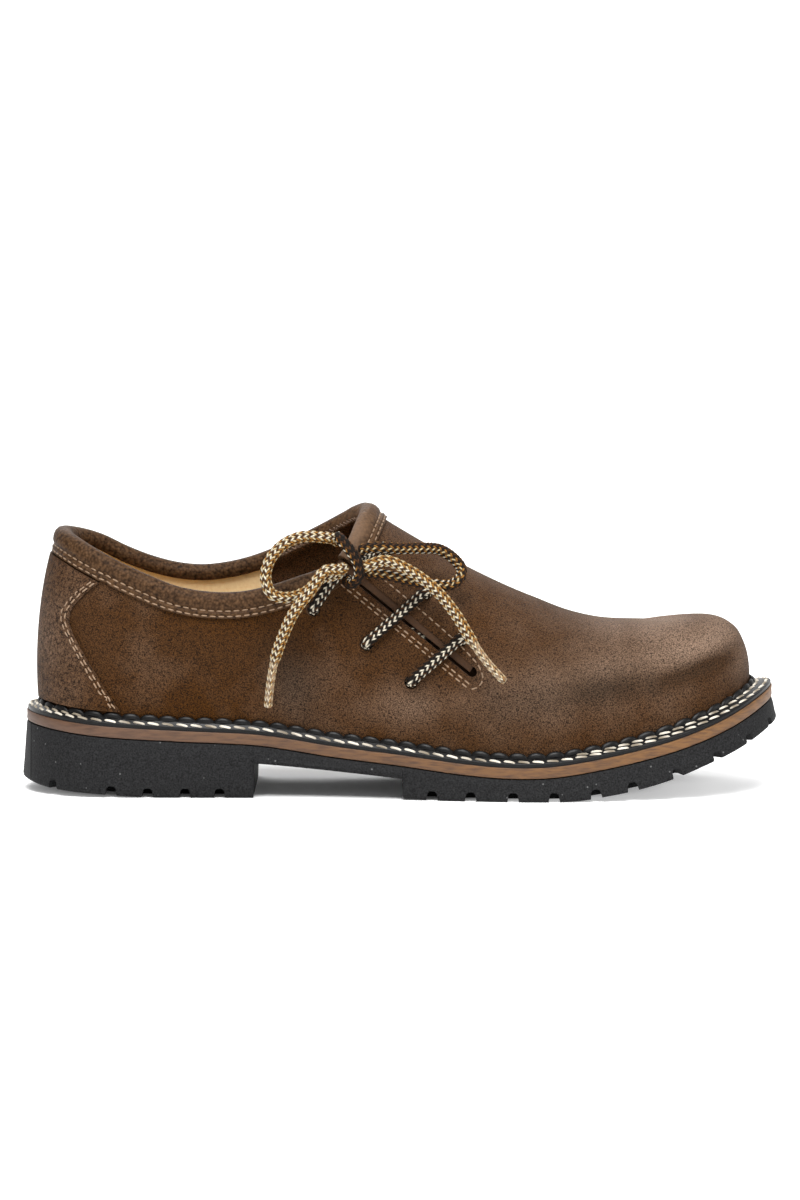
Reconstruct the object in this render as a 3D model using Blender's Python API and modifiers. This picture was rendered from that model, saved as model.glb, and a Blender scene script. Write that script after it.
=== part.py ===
"""A side-laced haferl shoe for the right foot, standing empty on its sole.

The toe points along +X, the outer side of the foot along -Y and up along +Z. The functions work in
millimetres measured from the back of the heel; to_frame() moves the result to the middle of the sole
and into Blender's metres. Every piece is worked out from the same last: a row of half-sections that
fan round the heel, run across the foot and fan round the toe.
"""

import math

import bmesh
import bpy
import numpy as np
from mathutils import Matrix, Vector

MM = 0.001

# Driving dimensions of the last and the bottom, in millimetres
SHOE_LENGTH = 300.0
BALL_WIDTH = 101.0
INSTEP_HEIGHT = 114.0
HEEL_HEIGHT = 26.6
TOE_SPRING = 27.0

# Leather thicknesses and the gap between pieces
UPPER_WALL = 2.0
COUNTER_WALL = 1.3
BINDING_WALL = 1.5
MIDSOLE_WALL = 4.7
INSOLE_WALL = 3.0
TONGUE_WALL = 1.6
WELT_WALL = 1.4
FIT_GAP = 0.3

# Round lace, its holes and the side slit
LACE_DIAMETER = 4.4
LACE_TIP_DIAMETER = 3.4
HOLE_DIAMETER = 6.8
SLIT_WIDTH = 3.2

OUTER, INNER = -1, 1


def table(columns, rows):
    """Named columns of a short table, one row for each section."""
    values = np.array(rows, float)
    return {name: values[:, i] for i, name in enumerate(columns.split())}


# The half-sections of the last, from the back of the heel to the tip of the toe. along is the place of
# the section's axis as a share of the length, axis its sideways place and outer, inner the reach of the
# sole's upper edge as shares of the ball width, and turn the angle that the section is turned forwards.
# margin is the welt's width, swell and rise say how far and how high the wall stands out over it, crown
# is the top line's height as a share of the instep height (over the opening it is only a construction
# line), roof and wall are the exponents of the curve up to it, and flare spreads the sole's lower edge.
LAST = table(
    "along axis turn outer inner margin swell rise crown roof wall flare",
    [
        (0.123, 0.000, -90, 0.348, 0.348, 6.7, 0.8, 17, 1.10, 2.0, 2.0, 1.6),
        (0.123, 0.000, -60, 0.350, 0.348, 6.3, 1.2, 17, 1.10, 2.0, 2.0, 1.6),
        (0.123, 0.000, -30, 0.354, 0.348, 5.7, 1.7, 17, 1.10, 2.0, 2.0, 1.5),
        (0.123, 0.000, 0, 0.354, 0.347, 5.2, 2.2, 18, 1.10, 2.0, 2.0, 1.4),
        (0.217, 0.002, 0, 0.359, 0.338, 4.7, 2.6, 17, 1.12, 2.1, 2.1, 1.5),
        (0.317, 0.010, 0, 0.374, 0.317, 4.7, 2.6, 17, 1.11, 2.1, 2.1, 1.2),
        (0.417, 0.024, 0, 0.408, 0.294, 4.8, 2.4, 18, 1.035, 2.1, 2.0, 1.2),
        (0.500, 0.034, 0, 0.457, 0.312, 5.0, 2.0, 18, 0.902, 2.1, 1.9, 1.4),
        (0.583, 0.040, 0, 0.510, 0.366, 5.2, 1.6, 16, 0.776, 2.2, 1.8, 1.6),
        (0.667, 0.042, 0, 0.545, 0.423, 5.4, 1.2, 14, 0.672, 2.3, 1.8, 1.8),
        (0.750, 0.043, 0, 0.533, 0.447, 5.8, 0.9, 12, 0.596, 2.6, 1.8, 2.0),
        (0.823, 0.044, 0, 0.490, 0.433, 6.5, 0.7, 9, 0.581, 3.0, 1.9, 2.0),
        (0.823, 0.044, 30, 0.489, 0.463, 7.6, 0.6, 7, 0.581, 3.4, 2.1, 1.9),
        (0.823, 0.044, 60, 0.496, 0.493, 8.7, 0.5, 5, 0.581, 4.0, 2.6, 1.8),
        (0.823, 0.044, 90, 0.508, 0.508, 9.4, 0.5, 4, 0.581, 4.4, 3.0, 1.8),
    ],
)
LAST_ROW = np.arange(len(LAST["along"]), dtype=float)
FIRST_ACROSS, LAST_ACROSS, TOE_ROW = 3, 11, LAST_ROW[-1]
TOE_LIFT = 3.3

# The bottom seen from the side, at a share of the length: seat is the top of the rubber and bed the
# underside of its slab, as shares of the heel's height.
BOTTOM = table(
    "along seat bed",
    [
        (0.000, 1.030, 0.620),
        (0.040, 0.970, 0.620),
        (0.080, 0.915, 0.620),
        (0.123, 0.870, 0.600),
        (0.217, 0.810, 0.560),
        (0.317, 0.755, 0.500),
        (0.417, 0.590, 0.400),
        (0.500, 0.486, 0.308),
        (0.583, 0.372, 0.200),
        (0.643, 0.327, 0.160),
        (0.700, 0.345, 0.170),
        (0.753, 0.432, 0.230),
        (0.823, 0.592, 0.360),
        (0.880, 0.780, 0.520),
        (0.933, 1.010, 0.720),
        (1.000, 1.390, 1.040),
    ],
)
# The line that the lugs of the heel and the forefoot stand on, as a share of the toe spring: bevelled
# behind the heel, flat under the heel and the ball, and sprung up at the toe.
GROUND = table(
    "along foot",
    [
        (0.000, 0.180),
        (0.030, 0.115),
        (0.070, 0.070),
        (0.110, 0.043),
        (0.150, 0.012),
        (0.180, 0.000),
        (0.310, 0.000),
        (0.500, 0.030),
        (0.535, 0.006),
        (0.560, 0.000),
        (0.695, 0.000),
        (0.735, 0.018),
        (0.765, 0.068),
        (0.803, 0.140),
        (0.852, 0.290),
        (0.895, 0.470),
        (0.943, 0.680),
        (1.000, 1.000),
    ],
)
HEEL_BREAST = 0.309 * SHOE_LENGTH
TREAD_START = 0.503 * SHOE_LENGTH
STEP_RUN = 0.4

# The collar's cut edge seen from the side: shares of the length and of the instep height.
COLLAR = table(
    "along outer inner",
    [
        (0.0267, 0.912, 0.912),
        (0.0500, 0.896, 0.900),
        (0.0967, 0.835, 0.855),
        (0.1333, 0.786, 0.807),
        (0.1700, 0.743, 0.769),
        (0.2033, 0.709, 0.747),
        (0.2400, 0.689, 0.740),
        (0.2667, 0.684, 0.748),
        (0.2967, 0.688, 0.766),
        (0.3267, 0.704, 0.794),
        (0.3700, 0.740, 0.850),
        (0.4000, 0.768, 0.892),
        (0.4200, 0.798, 0.922),
        (0.4333, 0.840, 0.943),
        (0.4433, 0.890, 0.960),
        (0.4517, 0.938, 0.969),
        (0.4585, 0.973, 0.973),
    ],
)
THROAT_PEAK = 0.4585 * SHOE_LENGTH
THROAT_STATIONS = np.array([0.4350, 0.4440, 0.4510, 0.4560, 0.4585]) * SHOE_LENGTH

# The heel counter's front edge: its place along the shoe at a height, in the same shares.
COUNTER_EDGE = table(
    "height along",
    [
        (0.263, 0.1420),
        (0.430, 0.1043),
        (0.526, 0.0833),
        (0.579, 0.0727),
        (0.614, 0.0693),
        (0.649, 0.0740),
        (0.702, 0.0940),
        (0.754, 0.1217),
        (0.807, 0.1533),
    ],
)


def side_view(*rows):
    """Places on the outer side from shares of the length and of the instep height."""
    return np.array(rows) * [SHOE_LENGTH, INSTEP_HEIGHT]


# The side slit from its end over the ball up past the collar, and the lace holes from the top down.
SLIT_FOOT, SLIT_HEAD = side_view((0.5917, 0.430), (0.4033, 0.825))
QUARTER_HOLES = side_view((0.3867, 0.646), (0.4567, 0.530), (0.5150, 0.402))
VAMP_HOLES = side_view((0.4817, 0.837), (0.5333, 0.697), (0.5800, 0.545))


def hermite(at, knots, values, flat_ends=False):
    """A cubic through the values, with each knot's slope from its two neighbours."""
    slopes = np.gradient(values, knots)
    if flat_ends:
        slopes[[0, -1]] = 0.0
    i = np.clip(np.searchsorted(knots, at, side="right") - 1, 0, len(knots) - 2)
    span = knots[i + 1] - knots[i]
    f = np.clip((at - knots[i]) / span, 0.0, 1.0)
    start = (1 + 2 * f) * (1 - f) ** 2 * values[i] + f * (1 - f) ** 2 * span * slopes[i]
    end = f**2 * (3 - 2 * f) * values[i + 1] + f**2 * (f - 1) * span * slopes[i + 1]
    return start + end


def last(column, t):
    """A column of the last at station t, a row number that may lie between two rows."""
    return hermite(t, LAST_ROW, LAST[column], flat_ends=True)


def axis_at(t):
    """The place of the section's axis: along the shoe and sideways."""
    along = np.interp(t, LAST_ROW, LAST["along"]) * SHOE_LENGTH
    return along, last("axis", t) * BALL_WIDTH


def direction(t, side):
    """The way that the half-section at t faces, in plan."""
    turn = np.radians(np.interp(t, LAST_ROW, LAST["turn"]))
    return np.sin(turn), side * np.cos(turn)


def station_of(along):
    """The station whose axis is at this place along the shoe, between the heel's and the toe's fan."""
    rows = slice(FIRST_ACROSS, LAST_ACROSS + 1)
    return float(np.interp(along, LAST["along"][rows] * SHOE_LENGTH, LAST_ROW[rows]))


def in_plan(t, side, reach):
    """The point at a reach from the axis, along and across the shoe."""
    (along, across), (forward, sideways) = axis_at(t), direction(t, side)
    return along + reach * forward, across + reach * sideways


def sole_reach(t, side):
    """The reach of the sole's upper edge from the axis."""
    return last("outer" if side == OUTER else "inner", t) * BALL_WIDTH


def feather_reach(t, side):
    """The reach of the line where the upper meets the welt."""
    return sole_reach(t, side) - last("margin", t)


def seat_height(along):
    return hermite(along / SHOE_LENGTH, BOTTOM["along"], BOTTOM["seat"]) * HEEL_HEIGHT


def midsole_top(along):
    """The height of the midsole's upper face, with its thickness measured square to the slope."""
    slope = (seat_height(along + 1.0) - seat_height(along - 1.0)) / 2.0
    return seat_height(along) + FIT_GAP + MIDSOLE_WALL * np.sqrt(1.0 + slope**2)


def half_section(t, side, count=150):
    """The last's half-section as a line of points from the feather edge up to the crown.

    A short parabola rises from the feather to the fullest point, and a superellipse runs from there to
    the crown. Round the toe the top is lifted in front of the crown, as a toe box stands.
    """
    feather = feather_reach(t, side)
    foot = midsole_top(in_plan(t, side, feather)[0]) + FIT_GAP
    full, full_height = feather + last("swell", t), foot + last("rise", t)
    crown = last("crown", t) * INSTEP_HEIGHT
    low = np.linspace(0.0, 1.0, count // 3, endpoint=False)
    turn = np.linspace(0.0, math.pi / 2, count - count // 3)
    reach = np.append(full - (full - feather) * (1 - low) ** 2, full * np.cos(turn) ** (2 / last("roof", t)))
    rounding = np.sin(turn) ** (2 / last("wall", t))
    height = np.append(foot + (full_height - foot) * low, full_height + (crown - full_height) * rounding)
    reach[-1] = 0.0
    share = np.clip(reach / full, 0.0, 1.0) ** 2
    height = height + 4 * TOE_LIFT * max(direction(t, side)[0], 0.0) * share * (1 - share)
    along, across = in_plan(t, side, reach)
    return np.column_stack([along, across, height])


def running_length(points):
    return np.concatenate([[0.0], np.cumsum(np.linalg.norm(np.diff(points, axis=0), axis=1))])


def at_lengths(points, lengths):
    """Points at lengths along a line."""
    run = running_length(points)
    return np.column_stack([np.interp(lengths, run, points[:, i]) for i in range(3)])


def full_arc(t, side):
    """The length of the half-section from the feather to the crown."""
    return running_length(half_section(t, side))[-1]


def arc_at(t, side, height):
    """The length of the half-section from the feather up to a height."""
    points = half_section(t, side)
    return np.interp(height, points[:, 2], running_length(points))


def edge_arc(t, side):
    """The length from the feather to the collar's edge or, in front of the throat, to the crown."""
    points = half_section(t, side)
    run = running_length(points)
    heights = COLLAR["outer" if side == OUTER else "inner"] * INSTEP_HEIGHT
    collar = hermite(points[:, 0] / SHOE_LENGTH, COLLAR["along"], heights)
    over = np.where(points[:, 0] > THROAT_PEAK, -1.0, points[:, 2] - collar)
    above = np.nonzero(over >= 0)[0]
    if len(above) == 0:
        return run[-1]
    k = above[0]
    return np.interp(0.0, over[k - 1 : k + 1], run[k - 1 : k + 1])


def skin(t, side, arc, lift=0.0):
    """A point of the last's surface at a length up from the feather, lifted off it by a distance.

    A length that goes on past the crown comes down again on the other side.
    """
    beyond = arc - full_arc(t, side)
    if beyond > 0:
        side, arc = -side, full_arc(t, -side) - beyond
    point = at_lengths(half_section(t, side), [arc])[0]
    return point + lift * skin_normal(t, side, arc) if lift else point


def skin_steps(t, side, arc):
    """How the surface's point moves for a step of the station and for a step up the section."""
    low, high = max(t - 0.04, 0.0), min(t + 0.04, TOE_ROW)
    around = (skin(high, side, arc) - skin(low, side, arc)) / (high - low)
    up = at_lengths(half_section(t, side), [arc - 0.6, arc + 0.6])
    return around, (up[1] - up[0]) / np.linalg.norm(up[1] - up[0])


def skin_normal(t, side, arc):
    around, up = skin_steps(t, side, arc)
    normal = np.cross(around, up) * -side
    return normal / np.linalg.norm(normal)


def on_outer_side(along, height, lift):
    """A point over the outer side of the upper, lift above its leather."""
    t = station_of(along)
    return skin(t, OUTER, arc_at(t, OUTER, height), lift)


def stations(steps_per_row, extra_along=()):
    """Station numbers from heel to toe, with a number of steps for each row's interval."""
    made = [i + k / n for i, n in enumerate(steps_per_row) for k in range(n)] + [TOE_ROW]
    return np.array(sorted(made + [station_of(a) for a in extra_along]))


def loop_of(ts):
    """(station, side) pairs once round the shoe: heel, outer side, toe and back on the inner side."""
    return [(t, OUTER) for t in ts] + [(t, INNER) for t in ts[-2:0:-1]]


def sole_middle():
    """The middle of the sole's lower outline, which is the frame's origin."""
    loop = loop_of(np.linspace(0, TOE_ROW, 281))
    edge = np.array([in_plan(t, s, sole_reach(t, s) + last("flare", t)) for t, s in loop])
    return (edge.min(axis=0) + edge.max(axis=0)) / 2


SOLE_MIDDLE = sole_middle()


def to_frame(points):
    """Millimetres from the heel's back into metres from the sole's middle."""
    return (np.asarray(points, float) - [SOLE_MIDDLE[0], SOLE_MIDDLE[1], 0.0]) * MM


def new_material(name, colour, roughness):
    material = bpy.data.materials.new(name)
    material.use_nodes = True
    shader = material.node_tree.nodes["Principled BSDF"]
    shader.inputs["Base Color"].default_value = (*colour, 1.0)
    shader.inputs["Roughness"].default_value = roughness
    shader.inputs["Metallic"].default_value = 0.0
    return material


def add_object(name, data, material, collection):
    made = bpy.data.objects.new(name, data)
    if material:
        made.data.materials.append(material)
    collection.objects.link(made)
    return made


def into(made, collection):
    """Move an object that an operator made into a collection."""
    for old in list(made.users_collection):
        old.objects.unlink(made)
    collection.objects.link(made)
    return made


def mesh_of(name, points, faces):
    """A mesh from points in millimetres, with doubles merged and its faces turned outwards."""
    mesh = bpy.data.meshes.new(name)
    mesh.from_pydata(to_frame(points).tolist(), [], [list(map(int, f)) for f in faces])
    work = bmesh.new()
    work.from_mesh(mesh)
    bmesh.ops.remove_doubles(work, verts=work.verts, dist=1e-6)
    bmesh.ops.dissolve_degenerate(work, edges=work.edges, dist=1e-6)
    bmesh.ops.recalc_face_normals(work, faces=work.faces)
    work.to_mesh(mesh)
    work.free()
    mesh.shade_smooth()
    mesh.set_sharp_from_angle(angle=math.radians(40))
    return mesh


def grid_faces(rows, columns, closed=False):
    """Quads of a grid of points that is stored row after row."""
    quads = []
    for r in range(rows - 1):
        for c in range(columns if closed else columns - 1):
            a, b = r * columns, (r + 1) * columns
            d = (c + 1) % columns
            quads.append((a + c, a + d, b + d, b + c))
    return quads


def capped_rings(rings):
    """Points and faces of a solid between rings that go once round the shoe, with ruled end faces.

    Each ring starts at the heel, runs along the outer side and comes back on the inner side, so an end
    face is a row of strips from one side across to the other.
    """
    around = len(rings[0])
    faces = grid_faces(len(rings), around, closed=True)
    for base in (0, (len(rings) - 1) * around):
        for i in range(around // 2):
            strip = [base + i, base + i + 1, base + around - i - 1, base + (around - i) % around]
            faces.append(list(dict.fromkeys(strip)))
    return np.vstack(rings), faces


def swept_section(sections, closed):
    """Points and faces of a closed section that is carried along a path."""
    count, sides = len(sections), len(sections[0])
    faces = []
    for r in range(count if closed else count - 1):
        for c in range(sides):
            a, b = r * sides, (r + 1) % count * sides
            d = (c + 1) % sides
            faces.append((a + c, a + d, b + d, b + c))
    if not closed:
        faces += [list(range(sides)), list(range((count - 1) * sides, count * sides))]
    return np.vstack(sections), faces


def shell_between(inside, outside):
    """Points and faces of the solid between two grids of the same size."""
    rows, columns = inside.shape[:2]
    size = rows * columns
    faces = grid_faces(rows, columns) + [tuple(i + size for i in f) for f in grid_faces(rows, columns)]
    top = (rows - 1) * columns
    rim = list(range(columns)) + [r * columns + columns - 1 for r in range(1, rows)]
    rim += list(range(top + columns - 2, top - 1, -1)) + [r * columns for r in range(rows - 2, 0, -1)]
    for a, b in zip(rim, rim[1:] + rim[:1]):
        faces.append((a, b, b + size, a + size))
    return np.vstack([inside.reshape(-1, 3), outside.reshape(-1, 3)]), faces


def joined(cutters, name, collection):
    """Separate cutters as one mesh, so that one Boolean makes all their cuts."""
    work = bmesh.new()
    for cutter in cutters:
        work.from_mesh(cutter.data)
        bpy.data.objects.remove(cutter)
    mesh = bpy.data.meshes.new(name)
    work.to_mesh(mesh)
    work.free()
    return as_cutter(add_object(name, mesh, None, collection))


def as_cutter(made):
    made.hide_render = True
    made.display_type = "WIRE"
    return made


def cut(made, cutter):
    modifier = made.modifiers.new(cutter.name, "BOOLEAN")
    modifier.operation = "DIFFERENCE"
    modifier.object = cutter
    modifier.solver = "EXACT"


# Outsole: a moulded slab, a heel block and a lugged forefoot

LUG_GAP = 4.2
LUG_DEPTH = 3.6
LUG_REACH = 13.0
NOTCH_PLACES = [0.122, 0.171, 0.220, 0.265, 0.5417, 0.5917, 0.6467, 0.7000, 0.7550, 0.8033]
FAN_NOTCHES = [1.7, 11.45, 12.1, 12.75]
# Cross grooves down the middle of the tread, with their widths as shares of the ball width.
MIDDLE_GROOVES = table(
    "along width",
    [
        (0.147, 0.22),
        (0.196, 0.24),
        (0.243, 0.24),
        (0.567, 0.30),
        (0.620, 0.36),
        (0.673, 0.40),
        (0.728, 0.40),
        (0.780, 0.36),
    ],
)


def lug_foot(along):
    ground = hermite(along / SHOE_LENGTH, GROUND["along"], GROUND["foot"])
    return max(float(ground), 0.0) * TOE_SPRING


def sole_foot(along):
    """The height of the sole's underside: the lugs, or the slab over the waist."""
    if HEEL_BREAST + STEP_RUN / 2 < along < TREAD_START + STEP_RUN / 2:
        return hermite(along / SHOE_LENGTH, BOTTOM["along"], BOTTOM["bed"]) * HEEL_HEIGHT
    return lug_foot(along)


def groove_cutter(name, along, across, size, forward, collection):
    """A box that sinks LUG_DEPTH into the tread and leans with the toe spring."""
    bpy.ops.mesh.primitive_cube_add(size=1.0)
    made = bpy.context.object
    made.name = name
    made.scale = [size[0] * MM, size[1] * MM, 4 * LUG_DEPTH * MM]
    made.location = to_frame((along, across, lug_foot(along) - LUG_DEPTH)).tolist()
    slope = math.atan2(lug_foot(along + 4) - lug_foot(along - 4), 8.0)
    made.rotation_euler = (0.0, -slope, 0.0)
    made.rotation_euler.rotate_axis("Z", math.atan2(forward[1], forward[0]))
    bpy.context.view_layer.update()
    bpy.ops.object.transform_apply(location=True, rotation=True, scale=True)
    return into(made, collection)


def edge_notches(collection):
    """The notches between the lugs, square to the sole's edge on both sides and at both ends."""
    places = [(station_of(a * SHOE_LENGTH), s) for a in NOTCH_PLACES for s in (OUTER, INNER)]
    places += [(t, s) for t in FAN_NOTCHES for s in (OUTER, INNER)] + [(0.0, OUTER), (TOE_ROW, OUTER)]
    made = []
    for i, (t, side) in enumerate(places):
        along, across = in_plan(t, side, sole_reach(t, side) + last("flare", t) - LUG_REACH / 2 + 3.0)
        size = (LUG_REACH + 6.0, LUG_GAP)
        made.append(groove_cutter(f"notch_{i}", along, across, size, direction(t, side), collection))
    return joined(made, "edge_notches", collection)


def middle_grooves(collection):
    """The cross grooves in the middle of the heel and the forefoot, clear of the notches."""
    made = []
    for i, (share, width) in enumerate(zip(MIDDLE_GROOVES["along"], MIDDLE_GROOVES["width"])):
        along, across = axis_at(station_of(share * SHOE_LENGTH))
        size = (LUG_GAP, width * BALL_WIDTH)
        made.append(groove_cutter(f"groove_{i}", along, across, size, (1.0, 0.0), collection))
    return joined(made, "middle_grooves", collection)


def make_outsole(material, parts, cutters):
    breaks = (HEEL_BREAST, HEEL_BREAST + STEP_RUN, TREAD_START, TREAD_START + STEP_RUN)
    loop = loop_of(stations([2, 2, 2, 2, 2, 2, 2, 3, 2, 2, 2, 3, 3, 3], breaks))
    top, foot = [], []
    for t, side in loop:
        along, across = in_plan(t, side, sole_reach(t, side))
        top.append((along, across, seat_height(along)))
        along, across = in_plan(t, side, sole_reach(t, side) + last("flare", t))
        foot.append((along, across, sole_foot(along)))
    mesh = mesh_of("outsole", *capped_rings([np.array(top), np.array(foot)]))
    made = add_object("outsole", mesh, material, parts)
    cut(made, edge_notches(cutters))
    cut(made, middle_grooves(cutters))


# Midsole and insole: flat leather on the rubber and inside the upper

INSOLE_CLEARANCE = 0.7


def make_midsole(material, parts):
    loop = loop_of(stations([2] * 11 + [3] * 3))
    plan = np.array([in_plan(t, s, sole_reach(t, s)) for t, s in loop])
    low = np.column_stack([plan, seat_height(plan[:, 0]) + FIT_GAP])
    high = np.column_stack([plan, midsole_top(plan[:, 0])])
    add_object("midsole", mesh_of("midsole", *capped_rings([low, high])), material, parts)


def make_insole(material, parts):
    loop = loop_of(stations([2] * 11 + [3] * 3))
    tuck = UPPER_WALL + INSOLE_CLEARANCE
    plan = np.array([in_plan(t, s, feather_reach(t, s) - tuck) for t, s in loop])
    low = np.column_stack([plan, midsole_top(plan[:, 0]) + FIT_GAP])
    high = low + [0.0, 0.0, INSOLE_WALL]
    add_object("insole", mesh_of("insole", *capped_rings([low, high])), material, parts)


# Welt: a flange on the midsole and a scalloped bead that hugs the upper

SCALLOP_PITCH = 7.2
BEAD_HEIGHT = 4.6
BEAD_VALLEY = 2.9
BEAD_WIDTH = 2.6
WELT_INSET = 0.5


def feather_loop(count):
    """(station, side) pairs spaced evenly along the feather line, and the line's length."""
    dense = loop_of(np.linspace(0, TOE_ROW, 421))
    points = np.array([(*in_plan(t, s, feather_reach(t, s)), 0.0) for t, s in dense + dense[:1]])
    run = running_length(points)
    turns = [t if s == OUTER else 2 * TOE_ROW - t for t, s in dense] + [2 * TOE_ROW]
    places = np.interp(np.arange(count) / count * run[-1], run, turns)
    return [(p, OUTER) if p <= TOE_ROW else (2 * TOE_ROW - p, INNER) for p in places], run[-1]


def welt_section(t, side, crest):
    """The welt's section at a station, where crest runs from 0 in a valley to 1 on a scallop."""
    height = BEAD_VALLEY + (BEAD_HEIGHT - BEAD_VALLEY) * crest
    width = BEAD_WIDTH * (0.8 + 0.2 * crest)
    rise = np.clip((np.array([0.0, height]) + FIT_GAP) / last("rise", t), 0.0, 1.0)
    hug = feather_reach(t, side) + last("swell", t) * (1 - (1 - rise) ** 2) + FIT_GAP
    edge = sole_reach(t, side) - WELT_INSET
    outline = [
        (edge, 0.0),
        (hug[0], 0.0),
        (hug[1], height),
        (hug[1] + 0.7 * width, 0.92 * height),
        (hug[0] + width, WELT_WALL),
        (edge, WELT_WALL),
    ]
    section = []
    for reach, up in outline:
        along, across = in_plan(t, side, reach)
        section.append((along, across, midsole_top(along) + FIT_GAP + up))
    return np.array(section)


def make_welt(material, parts):
    scallops = round(feather_loop(4)[1] / SCALLOP_PITCH)
    places, _ = feather_loop(2 * scallops)
    sections = [welt_section(t, s, i % 2) for i, (t, s) in enumerate(places)]
    add_object("welt", mesh_of("welt", *swept_section(sections, closed=True)), material, parts)


# Upper: vamp and quarters in one wall over the last

UPPER_STEPS = [2, 2, 3, 2, 3, 4, 5, 4, 3, 2, 2, 3, 3, 3]
LOW_SHARES = np.array([0.0, 0.08, 0.20, 0.36])
HIGH_SHARES = np.array([0.19, 0.37, 0.55, 0.73, 0.89, 1.0])


def upper_column(t, side):
    """Points up the wall: the lower ones keep their level, the upper ones end at the collar."""
    low = LOW_SHARES * full_arc(t, side)
    high = low[-1] + HIGH_SHARES * (edge_arc(t, side) - low[-1])
    return at_lengths(half_section(t, side), np.append(low, high))


def make_upper(material, parts, cutters):
    ts = stations(UPPER_STEPS, THROAT_STATIONS)
    columns = [upper_column(t, s) for t, s in loop_of(ts)]
    rows = np.array(columns).transpose(1, 0, 2)
    mesh = mesh_of("upper", rows.reshape(-1, 3), grid_faces(len(rows), len(columns), closed=True))
    made = add_object("upper", mesh, material, parts)
    solidify = made.modifiers.new("wall", "SOLIDIFY")
    solidify.thickness = UPPER_WALL * MM
    solidify.offset = -1.0
    solidify.use_even_offset = False
    cut(made, slit_cutter(cutters))
    cut(made, hole_cutters(cutters))


def slit_cutter(cutters):
    """The slot of the side slit, straight as seen from the side, with a round end over the ball."""
    run = SLIT_HEAD - SLIT_FOOT
    half = SLIT_WIDTH / 2
    turns = np.linspace(math.pi / 2, 3 * math.pi / 2, 7)
    length = np.linalg.norm(run)
    outline = [(half * math.cos(a), half * math.sin(a)) for a in turns] + [(length, -half), (length, half)]
    forward = np.array([run[0], 0.0, run[1]]) / length
    upward = np.array([-forward[2], 0.0, forward[0]])
    start = np.array([SLIT_FOOT[0], 0.0, SLIT_FOOT[1]])
    sections = [
        np.array([start + u * forward + v * upward + [0.0, across, 0.0] for u, v in outline])
        for across in (-0.7 * BALL_WIDTH, -0.1 * BALL_WIDTH)
    ]
    mesh = mesh_of("slit_cutter", *swept_section(sections, closed=False))
    return as_cutter(add_object("slit_cutter", mesh, None, cutters))


def hole_cutters(cutters):
    """A round cutter through the wall at each lace hole, square to the leather."""
    made = []
    for i, (along, height) in enumerate(np.vstack([QUARTER_HOLES, VAMP_HOLES])):
        bpy.ops.mesh.primitive_cylinder_add(vertices=12, radius=HOLE_DIAMETER / 2 * MM, depth=10.0 * MM)
        hole = bpy.context.object
        hole.name = f"hole_{i}"
        out, middle = on_outer_side(along, height, 1.0), on_outer_side(along, height, -UPPER_WALL / 2)
        hole.location = to_frame(middle).tolist()
        hole.rotation_euler = Vector(out - middle).to_track_quat("Z", "Y").to_euler()
        bpy.context.view_layer.update()
        bpy.ops.object.transform_apply(location=True, rotation=True, scale=True)
        made.append(into(hole, cutters))
    return joined(made, "lace_holes", cutters)


# Collar binding: a padded roll over the collar's edge, from the slit round to the slit

BINDING_DROP = 8.0
BINDING_INSIDE_DROP = 7.0
BINDING_ROLL = 2.2
BINDING_ENDS = (0.4117 * SHOE_LENGTH, 0.4260 * SHOE_LENGTH)
# The roll's section: lift off the leather and drop below the collar's edge. The lining side is negative.
BINDING_GAP = 0.45
LINING = -UPPER_WALL - 0.7
BINDING_OUTLINE = table(
    "lift drop",
    [
        (BINDING_GAP, BINDING_DROP),
        (BINDING_GAP + 0.7 * BINDING_WALL, BINDING_DROP),
        (BINDING_GAP + 1.4 * BINDING_WALL, 0.55 * BINDING_DROP),
        (BINDING_GAP + 1.3 * BINDING_WALL, 0.0),
        (0.6 - UPPER_WALL / 2, -BINDING_ROLL),
        (-0.6 - UPPER_WALL / 2, -BINDING_ROLL),
        (LINING - 1.4 * BINDING_WALL, 0.0),
        (LINING - 0.9 * BINDING_WALL, BINDING_INSIDE_DROP),
        (LINING, BINDING_INSIDE_DROP),
        (LINING, -BINDING_GAP),
        (BINDING_GAP, -BINDING_GAP),
    ],
)


def collar_path():
    """(station, side) pairs along the collar, from the slit round the heel and back over the throat."""
    peak = station_of(THROAT_PEAK)
    ts = [t for t in stations(UPPER_STEPS, THROAT_STATIONS) if t <= peak]
    rear, front = (station_of(a) for a in BINDING_ENDS)
    path = [(t, OUTER) for t in [rear] + [t for t in ts[::-1] if t < rear - 0.05]]
    path += [(t, INNER) for t in ts[1:]]
    return path + [(t, OUTER) for t in [t for t in ts[-2::-1] if t > front + 0.05] + [front]]


def make_binding(material, parts):
    path = collar_path()
    edge = np.array([skin(t, s, edge_arc(t, s)) for t, s in path])
    tangent = np.gradient(edge, axis=0)
    sections = []
    for (t, side), point, run in zip(path, edge, tangent):
        arc = edge_arc(t, side)
        normal = skin_normal(t, side, arc - 0.7)
        down = np.cross(normal, run / np.linalg.norm(run))
        steps = np.column_stack(skin_steps(t, side, arc - 0.7))
        move = np.linalg.lstsq(steps, down, rcond=None)[0]
        section = []
        for lift, drop in zip(BINDING_OUTLINE["lift"], BINDING_OUTLINE["drop"]):
            if drop > 0:
                section.append(skin(max(t + drop * move[0], 0.0), side, arc + drop * move[1], lift))
            else:
                section.append(point + lift * normal + drop * down)
        sections.append(np.array(section))
    mesh = mesh_of("collar_binding", *swept_section(sections, closed=False))
    add_object("collar_binding", mesh, material, parts)


# Heel counter: a back panel cut between two offsets of the upper's wall

COUNTER_ROWS = np.array([0.0, 0.14, 0.28, 0.42, 0.52, 0.60, 0.67, 0.74, 0.82, 0.91, 1.0])
COUNTER_COLUMNS = 19
COUNTER_LIFT = 0.5


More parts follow.
